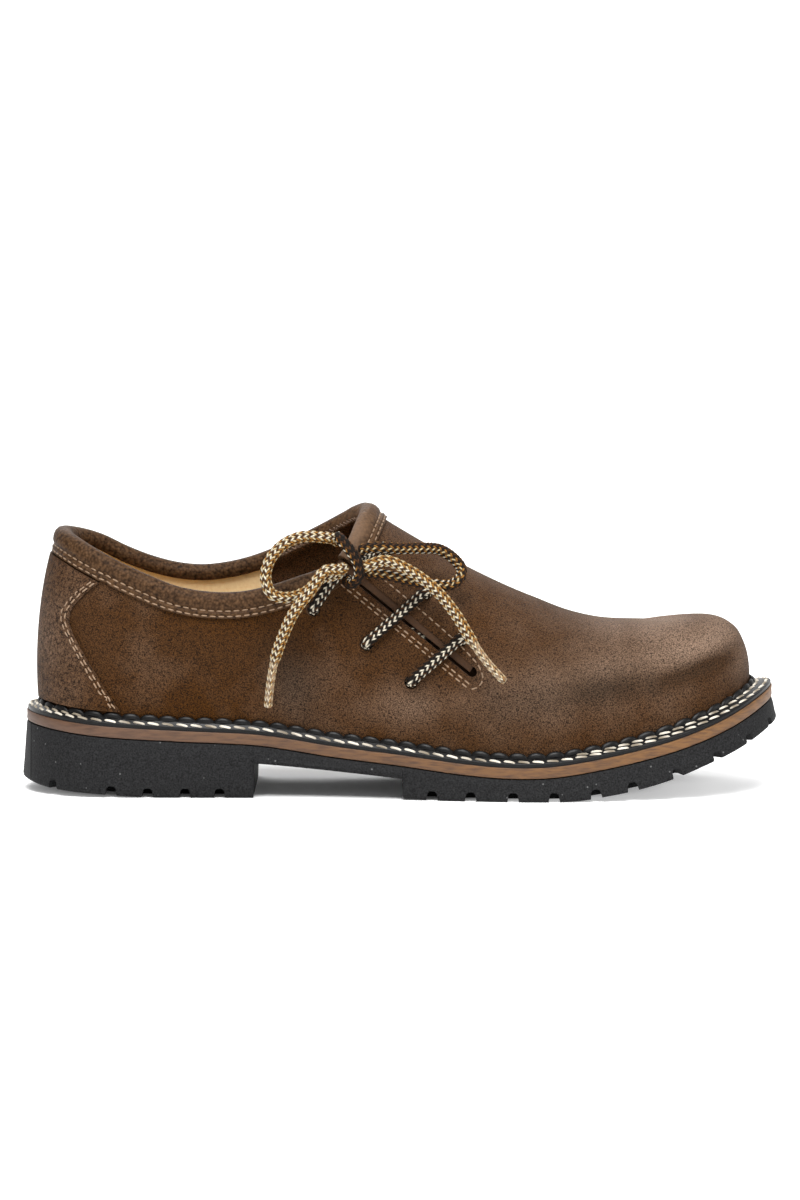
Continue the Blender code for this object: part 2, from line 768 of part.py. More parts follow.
def counter_arc(t, side, share):
    """The length up the wall at a share of the way from the bead to the binding."""
    low = BEAD_HEIGHT + 2 * FIT_GAP
    near, far = (skin(max(t + d, 0.0), side, edge_arc(max(t + d, 0.0), side)) for d in (-0.05, 0.05))
    fall = abs(far[2] - near[2]) / np.linalg.norm(far - near)
    high = edge_arc(t, side) - (BINDING_DROP + 3 * FIT_GAP) / math.sqrt(1.0 - fall**2)
    return low + share * (high - low)


def counter_front(side, share):
    """The station where the counter's front edge crosses a row."""
    for t in np.linspace(0.5, 5.0, 136):
        along, _, height = skin(t, side, counter_arc(t, side, share))
        edge = hermite(height / INSTEP_HEIGHT, COUNTER_EDGE["height"], COUNTER_EDGE["along"])
        if along >= edge * SHOE_LENGTH:
            return t
    return 5.0


def make_counter(material, parts):
    shape = (len(COUNTER_ROWS), COUNTER_COLUMNS, 3)
    inside, outside = np.zeros(shape), np.zeros(shape)
    for r, share in enumerate(COUNTER_ROWS):
        front = {side: counter_front(side, share) for side in (OUTER, INNER)}
        for c, place in enumerate(np.linspace(-1.0, 1.0, COUNTER_COLUMNS)):
            side = OUTER if place < 0 else INNER
            t = abs(place) * front[side]
            arc = counter_arc(t, side, share)
            inside[r, c] = skin(t, side, arc, COUNTER_LIFT)
            outside[r, c] = skin(t, side, arc, COUNTER_LIFT + COUNTER_WALL)
    add_object("heel_counter", mesh_of("heel_counter", *shell_between(inside, outside)), material, parts)


# Tongue: an underlay behind the slit, close to the vamp in front of it and clear of the lace above

TONGUE_DEPTH = 7.5
TONGUE_SIDE = 15.0
TONGUE_START = -0.24
TONGUE_END = 0.84


def make_tongue(material, parts):
    run = SLIT_HEAD - SLIT_FOOT
    square = np.array([run[1], -run[0]]) / np.linalg.norm(run)
    inside, outside = np.zeros((9, 7, 3)), np.zeros((9, 7, 3))
    for r, share in enumerate(np.linspace(TONGUE_START, TONGUE_END, 9)):
        ramp = np.clip((share - TONGUE_START) / 0.28, 0.0, 1.0)
        near = UPPER_WALL + 2 * FIT_GAP
        depth = near + (TONGUE_DEPTH - near) * ramp**2 * (3 - 2 * ramp)
        for c, place in enumerate(np.linspace(-TONGUE_SIDE, TONGUE_SIDE, 7)):
            along, height = SLIT_FOOT + share * run + place * square
            outside[r, c] = on_outer_side(along, height, -depth)
            inside[r, c] = on_outer_side(along, height, -depth - TONGUE_WALL)
    add_object("tongue", mesh_of("tongue", *shell_between(inside, outside)), material, parts)


# Lace: bars over the slit with their returns under the leather, and a bow


def bow(*rows):
    """A strand of the bow from shares of the length, the ball width and the instep height."""
    return np.array(rows) * [SHOE_LENGTH, BALL_WIDTH, INSTEP_HEIGHT]


LACE_OVER = LACE_DIAMETER / 2 + 0.4
LACE_UNDER = -UPPER_WALL - LACE_DIAMETER / 2 - 0.4
RUN_STEP = 9.0
HOLE_MOUTH = 1.1
# The lace's climb over the binding, from the top quarter hole to the knot: share of the way and lift.
CLIMB = table("share lift", [(0.25, 4.0), (0.45, 5.3)])

KNOT_PLACE = bow((0.4360, -0.375, 0.818))[0]
KNOT_SIZE = (8.0, 9.0, 15.0)
KNOT_LEAN = math.radians(-18)
KNOT_STUB = 2.5


def off_knot(forward, outward, up):
    """Two points of a strand that leaves the knot this way, square to its face: on it and beyond."""
    way = np.array([forward, -outward, up]) / math.sqrt(forward**2 + outward**2 + up**2)
    turn = np.array(Matrix.Rotation(KNOT_LEAN, 3, "Y"))
    half = np.array(KNOT_SIZE) / 2
    own = turn.T @ way
    face = KNOT_PLACE + turn @ (half**2 * own / np.linalg.norm(half * own))
    return np.array([face + FIT_GAP * way, face + (FIT_GAP + KNOT_STUB) * way])


def lace_run(start, end, lift):
    """Rows of a straight run of lace between two holes."""
    count = max(int(round(np.linalg.norm(end - start) / RUN_STEP)), 2)
    clear = 4.6 / np.linalg.norm(end - start)
    return [(*(start + f * (end - start)), lift) for f in np.linspace(clear, 1 - clear, count + 1)]


def lace_route(holes):
    """The lace from the knot through the holes and back, over and under the leather by turns."""
    knot = KNOT_PLACE[[0, 2]]
    stops = [knot, *holes, knot]
    rows = []
    for i, (start, end) in enumerate(zip(stops, stops[1:])):
        lift = LACE_OVER if i % 2 == 0 else LACE_UNDER
        near = 0.95 * (lift + UPPER_WALL / 2) - UPPER_WALL / 2
        mouth = HOLE_MOUTH * (end - start) / np.linalg.norm(end - start)
        if i > 0:
            rows += [(*start, -UPPER_WALL / 2), (*(start + mouth), near)]
        if 0 < i < len(holes):
            rows += lace_run(start, end, lift)
        if i < len(holes):
            rows.append((*(end - mouth), near))
    for share, lift in zip(CLIMB["share"], CLIMB["lift"]):
        rows.append((*(holes[-1] + share * (knot - holes[-1])), lift))
    on_leather = np.array([on_outer_side(*row) for row in rows])
    return np.vstack([off_knot(0.6, -0.75, 0.1), on_leather, off_knot(-0.75, -0.45, -0.5)[::-1]])


def smooth_line(points, steps):
    """A smooth curve through a line's points."""
    knots = running_length(points)
    places = np.linspace(0.0, knots[-1], steps)
    return np.column_stack([hermite(places, knots, points[:, i]) for i in range(3)])


def make_cord(name, points, steps, material, parts, tip=1.0):
    """A round cord along a line, drawn in to its tip by a share of its diameter."""
    curve = bpy.data.curves.new(name, "CURVE")
    curve.dimensions = "3D"
    curve.bevel_depth = LACE_DIAMETER / 2 * MM
    curve.bevel_resolution = 2
    curve.use_fill_caps = True
    line = curve.splines.new("POLY")
    line.points.add(steps - 1)
    for i, (point, place) in enumerate(zip(line.points, to_frame(smooth_line(points, steps)))):
        point.co = (*place, 1.0)
        point.radius = float(np.interp(i / (steps - 1), [0.0, 0.6, 0.75, 1.0], [1.0, 1.0, tip, tip]))
    add_object(name, curve, material, parts)


BACK_LOOP = bow(
    (0.400, -0.410, 0.899),
    (0.371, -0.425, 0.901),
    (0.345, -0.440, 0.867),
    (0.329, -0.450, 0.805),
    (0.327, -0.455, 0.754),
    (0.334, -0.455, 0.710),
    (0.355, -0.450, 0.696),
    (0.377, -0.440, 0.713),
    (0.399, -0.412, 0.760),
)
FRONT_LOOP = bow(
    (0.475, -0.380, 0.862),
    (0.500, -0.350, 0.856),
    (0.527, -0.310, 0.855),
    (0.552, -0.280, 0.848),
    (0.569, -0.290, 0.821),
    (0.580, -0.310, 0.783),
    (0.578, -0.335, 0.755),
    (0.566, -0.355, 0.733),
    (0.545, -0.375, 0.736),
    (0.520, -0.390, 0.745),
    (0.483, -0.395, 0.769),
)
BACK_END = bow(
    (0.405, -0.470, 0.790),
    (0.384, -0.500, 0.720),
    (0.364, -0.505, 0.652),
    (0.349, -0.490, 0.567),
    (0.338, -0.470, 0.482),
    (0.332, -0.455, 0.396),
    (0.329, -0.445, 0.318),
)
FRONT_END = bow(
    (0.481, -0.450, 0.822),
    (0.513, -0.455, 0.788),
    (0.545, -0.460, 0.726),
    (0.571, -0.470, 0.645),
    (0.591, -0.490, 0.560),
    (0.610, -0.510, 0.489),
    (0.636, -0.530, 0.413),
)


def make_knot(material, parts):
    """The bow's knot: a rounded lump that the loops and ends come out of."""
    bpy.ops.mesh.primitive_uv_sphere_add(segments=12, ring_count=7, radius=1.0)
    made = bpy.context.object
    made.name = made.data.name = "lace_knot"
    made.location = to_frame(KNOT_PLACE).tolist()
    made.scale = [s / 2 * MM for s in KNOT_SIZE]
    made.rotation_euler = (0.0, KNOT_LEAN, 0.0)
    bpy.context.view_layer.update()
    bpy.ops.object.transform_apply(location=True, rotation=True, scale=True)
    made.data.materials.append(material)
    made.data.shade_smooth()
    into(made, parts)


def make_lace(material, parts):
    q1, q2, q3 = QUARTER_HOLES
    v1, v2, v3 = VAMP_HOLES
    make_cord("lacing", lace_route([v1, v2, q2, q3, v3, q1]), 68, material, parts)
    make_knot(material, parts)
    back = np.vstack([off_knot(-0.8, 0.0, 0.6), BACK_LOOP, off_knot(-1.0, 0.1, 0.05)[::-1]])
    front = np.vstack([off_knot(0.9, 0.0, 0.45), FRONT_LOOP, off_knot(0.97, 0.0, -0.2)[::-1]])
    make_cord("lace_loop_back", back, 21, material, parts)
    make_cord("lace_loop_front", front, 22, material, parts)
    tip = LACE_TIP_DIAMETER / LACE_DIAMETER
    make_cord("lace_end_back", np.vstack([off_knot(-0.55, 0.8, -0.3), BACK_END]), 14, material, parts, tip)
    make_cord("lace_end_front", np.vstack([off_knot(0.7, 0.7, 0.0), FRONT_END]), 15, material, parts, tip)


def main():
    for old in list(bpy.data.objects):
        bpy.data.objects.remove(old)
    parts = bpy.data.collections.new("haferl_shoe")
    cutters = bpy.data.collections.new("cutters")
    for collection in (parts, cutters):
        bpy.context.scene.collection.children.link(collection)
    rubber = new_material("black_rubber", (0.018, 0.018, 0.019), 0.75)
    sole_leather = new_material("sole_leather", (0.20, 0.085, 0.030), 0.6)
    welt_leather = new_material("black_welt", (0.012, 0.012, 0.013), 0.5)
    nubuck = new_material("brown_nubuck", (0.085, 0.042, 0.019), 0.8)
    collar_leather = new_material("collar_leather", (0.075, 0.043, 0.027), 0.65)
    lining_leather = new_material("tan_lining", (0.52, 0.32, 0.13), 0.7)
    cord = new_material("flecked_cord", (0.42, 0.30, 0.17), 0.8)
    make_outsole(rubber, parts, cutters)
    make_midsole(sole_leather, parts)
    make_welt(welt_leather, parts)
    make_insole(lining_leather, parts)
    make_upper(nubuck, parts, cutters)
    make_binding(collar_leather, parts)
    make_counter(nubuck, parts)
    make_tongue(nubuck, parts)
    make_lace(cord, parts)


main()
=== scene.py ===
"""Looks of a side-laced haferl shoe for the right foot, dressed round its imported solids.

The toe points along +X and the laced outer side faces -Y. Shapes are worked out in millimetres from the
back of the heel, over the same last as the solids; in_frame() moves them to the sole's middle in metres.
"""

import math

import bmesh
import bpy
import numpy as np
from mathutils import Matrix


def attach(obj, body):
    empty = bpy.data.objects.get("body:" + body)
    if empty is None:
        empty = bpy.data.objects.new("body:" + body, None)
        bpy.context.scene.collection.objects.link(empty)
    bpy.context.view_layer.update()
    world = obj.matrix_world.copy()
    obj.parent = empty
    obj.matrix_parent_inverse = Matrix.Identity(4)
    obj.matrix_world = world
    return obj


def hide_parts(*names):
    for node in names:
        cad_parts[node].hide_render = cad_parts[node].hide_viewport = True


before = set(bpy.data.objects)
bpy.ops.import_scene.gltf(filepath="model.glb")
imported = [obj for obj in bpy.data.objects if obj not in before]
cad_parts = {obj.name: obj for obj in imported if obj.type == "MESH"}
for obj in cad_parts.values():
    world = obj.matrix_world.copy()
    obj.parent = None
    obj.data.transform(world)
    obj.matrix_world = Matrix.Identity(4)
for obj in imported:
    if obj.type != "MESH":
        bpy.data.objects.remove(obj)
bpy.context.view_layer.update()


# Studio
# A pale paper sweep under soft boxes, a broad one overhead and weaker ones from the sides and behind.
# It is the table that the shoe stands on for its picture, and no part of the shoe.

SWEEP_HALF, SWEEP_FRONT, SWEEP_BACK, SWEEP_BEND, SWEEP_TOP = 4.0, -3.0, 1.6, 1.2, 3.2
CAMERA_DISTANCE, CAMERA_RISE = 2.0, math.radians(5)
TARGET_HEIGHT = 0.0745
PICTURE_HEIGHT = 1200 / 2519
AIM_HEIGHT, WORLD_LIGHT = 0.05, 0.28
SHARP_ANGLE = math.radians(40)


def linear(colour):
    """An sRGB hex colour as linear light with alpha."""
    channels = np.array([int(colour[i : i + 2], 16) for i in (1, 3, 5)]) / 255.0
    light = np.where(channels <= 0.04045, channels / 12.92, ((channels + 0.055) / 1.055) ** 2.4)
    return (*light.tolist(), 1.0)


def fill(material, node, inputs):
    """Each input takes a value, a hex colour, a socket, or a node, whose first output is linked to it."""
    for key, value in inputs.items():
        if isinstance(value, bpy.types.Node):
            value = next(output for output in value.outputs if output.enabled)
        if isinstance(value, bpy.types.NodeSocket):
            material.node_tree.links.new(value, node.inputs[key])
        else:
            node.inputs[key].default_value = linear(value) if isinstance(value, str) else value


def new_material(name, **sockets):
    """A Principled material with its constant sockets set, an underscore standing for a space."""
    material = bpy.data.materials.new(name)
    material.use_nodes = True
    shader = material.node_tree.nodes["Principled BSDF"]
    fill(material, shader, {socket.replace("_", " "): value for socket, value in sockets.items()})
    return material, shader


def add_node(material, kind, inputs, **settings):
    """A shader node of a kind, with its settings and its inputs filled."""
    made = material.node_tree.nodes.new("ShaderNode" + kind)
    for name, value in settings.items():
        setattr(made, name, value)
    fill(material, made, inputs)
    return made


def grid_quads(rows, columns, wrap=False):
    """Index quads of a grid stored row after row; wrap joins the last column to the first."""
    r = np.arange(rows - 1)[:, None] * columns
    c = np.arange(columns if wrap else columns - 1)[None, :]
    d = (c + 1) % columns
    return np.stack([r + c, r + d, r + columns + d, r + columns + c], axis=-1).reshape(-1, 4).tolist()


def smoothed(mesh):
    """Smooth shading, with the edges past SHARP_ANGLE left sharp."""
    mesh.shade_smooth()
    mesh.set_sharp_from_angle(angle=SHARP_ANGLE)
    return mesh


def new_piece(name, points, faces, *materials):
    """A smooth mesh object at the origin from points in metres."""
    mesh = bpy.data.meshes.new(name)
    mesh.from_pydata(np.asarray(points).reshape(-1, 3).tolist(), [], faces)
    for material in materials:
        mesh.materials.append(material)
    made = bpy.data.objects.new(name, smoothed(mesh))
    bpy.context.scene.collection.objects.link(made)
    return made


# Photo paper that glows white of itself as well as taking the lamps' light, so that it stays an even white
# and only takes a soft shadow. Under the shoe and close behind it the glow is turned down in two ovals with
# soft edges, a painted shadow.
PAPER_GLOW = 0.45
# Each oval's middle, half length and half width, where its edge starts, and the glow left inside the
# painted shadow.
SHADOW_OVALS = ((-0.03, 0.0, 0.125, 0.052, 0.8, 0.07), (0.0, 0.06, 0.135, 0.075, 0.5, 0.0))
paper, shader = new_material("photo_paper", Base_Color="#f0f0f0", Roughness=0.9, Emission_Color="#ffffff")
place = add_node(paper, "TexCoord", {}).outputs["Object"]
glow = PAPER_GLOW
for along, across, half, wide, soft, left in SHADOW_OVALS:
    oval = add_node(
        paper,
        "Mapping",
        {
            "Vector": place,
            "Location": (-along / half, -across / wide, 0.0),
            "Scale": (1 / half, 1 / wide, 0.0),
        },
    )
    # Inside each oval the glow falls away, a painted shadow.
    away = add_node(paper, "VectorMath", {0: oval}, operation="LENGTH")
    glow_share = add_node(
        paper, "MapRange", {"Value": away, "From Min": soft, "From Max": 1.1, "To Min": left, "To Max": 1.0}
    )
    glow = add_node(paper, "Math", {0: glow, 1: glow_share}, operation="MULTIPLY")
fill(paper, shader, {"Emission Strength": glow})
bend = np.linspace(0.0, math.pi / 2, 24)
sweep_end = SWEEP_BACK + SWEEP_BEND
profile_y = np.concatenate([[SWEEP_FRONT], SWEEP_BACK + SWEEP_BEND * np.sin(bend), [sweep_end]])
profile_z = np.concatenate([[0.0], SWEEP_BEND * (1.0 - np.cos(bend)), [SWEEP_TOP]])
sweep_rows = [
    np.column_stack([np.full(profile_y.size, x), profile_y, profile_z]) for x in (-SWEEP_HALF, SWEEP_HALF)
]
sweep = new_piece("sweep", np.array(sweep_rows), grid_quads(2, profile_y.size), paper)

camera = bpy.data.objects.new("camera", bpy.data.cameras.new("camera"))
camera.data.sensor_fit = "VERTICAL"
camera.data.lens = camera.data.sensor_height * CAMERA_DISTANCE / PICTURE_HEIGHT
camera.location = (
    0.0,
    -CAMERA_DISTANCE * math.cos(CAMERA_RISE),
    TARGET_HEIGHT + CAMERA_DISTANCE * math.sin(CAMERA_RISE),
)
camera.rotation_euler = (math.pi / 2 - CAMERA_RISE, 0.0, 0.0)
bpy.context.scene.collection.objects.link(camera)
bpy.context.scene.camera = camera

# Name, place, width and power of each soft box; all of them face the shoe's middle.
for name, place, width, power in [
    ("overhead", (-0.10, -0.85, 1.45), 1.0, 40.0),
    ("front", (0.20, -2.20, 0.80), 1.4, 5.0),
    ("toe_side", (1.50, -0.40, 0.90), 0.9, 8.0),
    ("behind", (-0.30, 1.10, 1.20), 1.2, 11.0),
]:
    lamp = bpy.data.objects.new(name, bpy.data.lights.new(name, "AREA"))
    lamp.data.size = width
    lamp.data.energy = power
    lamp.location = place
    aim = -np.array(place) + [0.0, 0.0, AIM_HEIGHT]
    tilt = math.atan2(math.hypot(aim[0], aim[1]), -aim[2])
    lamp.rotation_euler = (tilt, 0.0, math.atan2(-aim[0], aim[1]))
    bpy.context.scene.collection.objects.link(lamp)

world = bpy.data.worlds.new("daylight")
world.use_nodes = True
world.node_tree.nodes["Background"].inputs["Color"].default_value = linear("#ffffff")
world.node_tree.nodes["Background"].inputs["Strength"].default_value = WORLD_LIGHT
bpy.context.scene.world = world
bpy.context.scene.view_settings.view_transform = "Standard"


# Outsole
# One moulded unit of black rubber: a slab with a heel block, a plain waist and a forefoot whose lugs are
# parted by notches round the edge. It is cemented under the leather midsole.

SHOE_LENGTH, BALL_WIDTH, INSTEP_HEIGHT = 300.0, 101.0, 114.0
HEEL_HEIGHT, TOE_SPRING, FIT_GAP = 26.6, 27.0, 0.3
MM = 0.001


def table(columns, rows):
    """Named columns of a short table, one row for each section."""
    values = np.array(rows, float)
    return {name: values[:, i] for i, name in enumerate(columns.split())}


# Half-sections of the last from heel to toe: along and axis place them, turn faces them forwards, outer
# and inner reach to the sole's edge, margin is the welt's width, swell and rise shape the foot of the
# wall, crown the top line, roof and wall the curve up to it, and flare spreads the sole's lower edge.
LAST = table(
    "along axis turn outer inner margin swell rise crown roof wall flare",
    [
        (0.123, 0.000, -90, 0.348, 0.348, 6.7, 0.8, 17, 1.10, 2.0, 2.0, 1.6),
        (0.123, 0.000, -60, 0.350, 0.348, 6.3, 1.2, 17, 1.10, 2.0, 2.0, 1.6),
        (0.123, 0.000, -30, 0.354, 0.348, 5.7, 1.7, 17, 1.10, 2.0, 2.0, 1.5),
        (0.123, 0.000, 0, 0.354, 0.347, 5.2, 2.2, 18, 1.10, 2.0, 2.0, 1.4),
        (0.217, 0.002, 0, 0.359, 0.338, 4.7, 2.6, 17, 1.12, 2.1, 2.1, 1.5),
        (0.317, 0.010, 0, 0.374, 0.317, 4.7, 2.6, 17, 1.11, 2.1, 2.1, 1.2),
        (0.417, 0.024, 0, 0.408, 0.294, 4.8, 2.4, 18, 1.035, 2.1, 2.0, 1.2),
        (0.500, 0.034, 0, 0.457, 0.312, 5.0, 2.0, 18, 0.902, 2.1, 1.9, 1.4),
        (0.583, 0.040, 0, 0.510, 0.366, 5.2, 1.6, 16, 0.776, 2.2, 1.8, 1.6),
        (0.667, 0.042, 0, 0.545, 0.423, 5.4, 1.2, 14, 0.672, 2.3, 1.8, 1.8),
        (0.750, 0.043, 0, 0.533, 0.447, 5.8, 0.9, 12, 0.596, 2.6, 1.8, 2.0),
        (0.823, 0.044, 0, 0.490, 0.433, 6.5, 0.7, 9, 0.581, 3.0, 1.9, 2.0),
        (0.823, 0.044, 30, 0.489, 0.463, 7.6, 0.6, 7, 0.581, 3.4, 2.1, 1.9),
        (0.823, 0.044, 60, 0.496, 0.493, 8.7, 0.5, 5, 0.581, 4.0, 2.6, 1.8),
        (0.823, 0.044, 90, 0.508, 0.508, 9.4, 0.5, 4, 0.581, 4.4, 3.0, 1.8),
    ],
)
LAST_ROW = np.arange(len(LAST["along"]), dtype=float)
FIRST_ACROSS, LAST_ACROSS, TOE_ROW = 3, 11, LAST_ROW[-1]
ROUND = 2 * TOE_ROW

# The bottom from the side: seat is the top of the rubber, bed the waist's underside.
BOTTOM = table(
    "along seat bed",
    [
        (0.000, 1.030, 0.620),
        (0.040, 0.970, 0.620),
        (0.080, 0.915, 0.620),
        (0.123, 0.870, 0.600),
        (0.217, 0.810, 0.560),
        (0.317, 0.755, 0.500),
        (0.417, 0.590, 0.400),
        (0.500, 0.486, 0.308),
        (0.583, 0.372, 0.200),
        (0.643, 0.327, 0.160),
        (0.700, 0.345, 0.170),
        (0.753, 0.432, 0.230),
        (0.823, 0.592, 0.360),
        (0.880, 0.780, 0.520),
        (0.933, 1.010, 0.720),
        (1.000, 1.390, 1.040),
    ],
)
# The line that the lugs stand on: bevelled behind the heel, flat, and sprung up at the toe.
GROUND = table(
    "along foot",
    [
        (0.000, 0.180),
        (0.030, 0.115),
        (0.070, 0.070),
        (0.110, 0.043),
        (0.150, 0.012),
        (0.180, 0.000),
        (0.310, 0.000),
        (0.500, 0.030),
        (0.535, 0.006),
        (0.560, 0.000),
        (0.695, 0.000),
        (0.735, 0.018),
        (0.765, 0.068),
        (0.803, 0.140),
        (0.852, 0.290),
        (0.895, 0.470),
        (0.943, 0.680),
        (1.000, 1.000),
    ],
)
HEEL_BREAST, TREAD_START, STEP_RUN = 92.7, 150.9, 0.4
LUG_GAP, LUG_DEPTH, LUG_REACH = 4.2, 3.6, 13.0
LUG_ROUND, LUG_FLARE, LUG_TAPER, LUG_OVER = 0.8, 2.2, 0.3, 3.0
SLOPE_SPAN, CUT_BELOW = 4.0, 3.0
NOTCH_PLACES = np.array([0.122, 0.171, 0.220, 0.265, 0.5417, 0.5917, 0.6467, 0.7000, 0.7550, 0.8033])
FAN_NOTCHES = np.array([1.7, 11.45, 12.1, 12.75, 13.4])
MIDDLE_GROOVES = table(
    "along width",
    [
        (0.147, 0.22),
        (0.196, 0.24),
        (0.243, 0.24),
        (0.567, 0.30),
        (0.620, 0.36),
        (0.673, 0.40),
        (0.728, 0.40),
        (0.780, 0.36),
    ],
)


def hermite(at, knots, values, flat_ends=False):
    """A cubic through the values, with each knot's slope from its two neighbours."""
    slopes = np.gradient(values, knots)
    if flat_ends:
        slopes[[0, -1]] = 0.0
    i = np.clip(np.searchsorted(knots, at, side="right") - 1, 0, len(knots) - 2)
    span = knots[i + 1] - knots[i]
    f = np.clip((at - knots[i]) / span, 0.0, 1.0)
    start = (1 + 2 * f) * (1 - f) ** 2 * values[i] + f * (1 - f) ** 2 * span * slopes[i]
    end = f**2 * (3 - 2 * f) * values[i + 1] + f**2 * (f - 1) * span * slopes[i + 1]
    return start + end


def station(place):
    """The last's row at a place round the shoe: out along the outer side, back along the inner one."""
    return np.minimum(place, ROUND - place)


def last(column, place):
    """A column of the last at a place, by a cubic from row to row."""
    return hermite(station(place), LAST_ROW, LAST[column], flat_ends=True)


def in_plan(place, reach):
    """Along and across at a reach from the section's axis, in the direction that the section faces."""
    row = station(place)
    turn = np.radians(np.interp(row, LAST_ROW, LAST["turn"]))
    along = np.interp(row, LAST_ROW, LAST["along"]) * SHOE_LENGTH + reach * np.sin(turn)
    return along, last("axis", place) * BALL_WIDTH + reach * np.cos(turn) * np.where(place > TOE_ROW, 1, -1)


def sole_reach(place):
    """The reach of the sole's upper edge from the section's axis, on the place's own side."""
    return np.where(place > TOE_ROW, last("inner", place), last("outer", place)) * BALL_WIDTH


def feather_reach(place):
    """The reach of the line where the upper meets the welt."""
    return sole_reach(place) - last("margin", place)


def place_of(along):
    """The place on the outer side whose section stands at this length along the shoe."""
    rows = slice(FIRST_ACROSS, LAST_ACROSS + 1)
    return np.interp(along, LAST["along"][rows] * SHOE_LENGTH, LAST_ROW[rows])


def seat_height(along):
    """The top of the rubber, by a cubic along the shoe."""
    return hermite(along / SHOE_LENGTH, BOTTOM["along"], BOTTOM["seat"]) * HEEL_HEIGHT


def lug_foot(along):
    """The line that the lugs stand on, by a cubic along the shoe, and never under the floor."""
    return np.maximum(hermite(along / SHOE_LENGTH, GROUND["along"], GROUND["foot"]), 0.0) * TOE_SPRING


def sole_foot(along):
    """The sole's underside: the lugs, or the slab over the waist between heel breast and tread."""
    waist = (along > HEEL_BREAST + STEP_RUN / 2) & (along < TREAD_START + STEP_RUN / 2)
    bed = hermite(along / SHOE_LENGTH, BOTTOM["along"], BOTTOM["bed"]) * HEEL_HEIGHT
    return np.where(waist, bed, lug_foot(along))


round_sole = np.linspace(0.0, ROUND, 561)
sole_edge = np.column_stack(in_plan(round_sole, sole_reach(round_sole) + last("flare", round_sole)))
SOLE_MIDDLE = np.append((sole_edge.min(axis=0) + sole_edge.max(axis=0)) / 2, 0.0)


def in_frame(points):
    """Millimetres from the heel's back into metres from the sole's middle."""
    return (np.asarray(points, float) - SOLE_MIDDLE) * MM


def run_along(line):
    """The length from a line's start to each of its points."""
    return np.append(0.0, np.cumsum(np.linalg.norm(np.diff(line, axis=0), axis=1)))


def even_places(count):
    """Places spaced evenly along the feather line, once round from the heel, and the line's length."""
    dense = np.linspace(0.0, ROUND, 1681)
    line = np.column_stack(in_plan(dense, feather_reach(dense)))
    run = run_along(line)
    return np.interp(np.arange(count) / count * run[-1], run, dense), run[-1]


def both_sides(count, *extra):
    """Places at like stations on both sides, spaced evenly on the outer one, with extra ones added."""
    outer = even_places(2 * count)[0]
    outer = np.unique(np.concatenate([outer[outer < TOE_ROW], [TOE_ROW], place_of(np.array(extra))]))
    return np.concatenate([outer, ROUND - outer[-2:0:-1]])


def capped_rings(rings):
    """Faces of a solid between rings round the shoe, with end faces ruled from side to side."""
    around = rings.shape[1]
    faces = grid_quads(len(rings), around, wrap=True)
    for base in (0, (len(rings) - 1) * around):
        for i in range(around // 2):
            strip = [base + i, base + i + 1, base + around - i - 1, base + (around - i) % around]
            faces.append(list(dict.fromkeys(strip)))
    return faces


def closed_outwards(made):
    """Merge a closed mesh's doubles and turn its faces outwards."""
    work = bmesh.new()
    work.from_mesh(made.data)
    bmesh.ops.remove_doubles(work, verts=work.verts, dist=1e-6)
    bmesh.ops.dissolve_degenerate(work, edges=work.edges, dist=1e-6)
    bmesh.ops.recalc_face_normals(work, faces=work.faces)
    work.to_mesh(made.data)
    work.free()
    smoothed(made.data)
    return made


def slab(name, rings, material):
    """A closed piece between rings round the shoe."""
    return closed_outwards(new_piece(name, in_frame(rings), capped_rings(rings), material))


def carved(made, *cutters):
    """Cut the cutters out of a piece, one Boolean each, and keep the result as its plain mesh."""
    for cutter in cutters:
        modifier = made.modifiers.new(cutter.name, "BOOLEAN")
        modifier.object = cutter
        modifier.solver = "EXACT"
    shown = made.evaluated_get(bpy.context.evaluated_depsgraph_get())
    mesh = bpy.data.meshes.new_from_object(shown)
    made.modifiers.clear()
    made.data = smoothed(mesh)
    for cutter in cutters:
        bpy.data.objects.remove(cutter)
    return made


def finished(made, slot, *nodes):
    """The piece rides on the shoe and stands for its solids; its slot is not used."""
    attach(made, "root")
    if nodes:
        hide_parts(*nodes)
    return made


def prism_faces(sides, count=1):
    """Faces of prisms, each stored as the outlines of its two ends."""
    one = [[i, (i + 1) % sides, sides + (i + 1) % sides, sides + i] for i in range(sides)]
    one += [list(range(sides))[::-1], list(range(sides, 2 * sides))]
    return [[2 * sides * k + i for i in face] for k in range(count) for face in one]


def groove_cutters(name, along, across, forward, length, width):
    """Prisms that sink into the tread: a slot's outline with rounded inner corners, carried lengthwise."""
    slope = np.arctan2(lug_foot(along + SLOPE_SPAN) - lug_foot(along - SLOPE_SPAN), 2 * SLOPE_SPAN)
    lean, rise = np.cos(slope), np.sin(slope)
    fx, fy = forward
    run = np.stack([fx * lean, fy, fx * rise], axis=-1)
    wide = np.stack([-fy * lean, fx, -fy * rise], axis=-1)
    up = np.stack([-rise, 0 * rise, lean], axis=-1)
    side, top = width / 2 - LUG_TAPER, np.full_like(width, LUG_DEPTH)
    bottom = np.full_like(width, -CUT_BELOW * LUG_DEPTH)
    foot = side + LUG_FLARE
    across_slot = np.stack([-foot, foot, side, side - LUG_ROUND, LUG_ROUND - side, -side], axis=-1)
    up_slot = np.stack([bottom, bottom, top - LUG_ROUND, top, top, top - LUG_ROUND], axis=-1)
    middle = np.stack([along, across, lug_foot(along)], axis=-1)[:, None]
    outline = across_slot[..., None] * wide[:, None] + up_slot[..., None] * up[:, None]
    ends = np.stack([-length / 2, length / 2], axis=-1)[:, :, None, None] * run[:, None, None]
    points = middle[:, None] + outline[:, None] + ends
    return closed_outwards(new_piece(name, in_frame(points), prism_faces(outline.shape[1], len(along))))


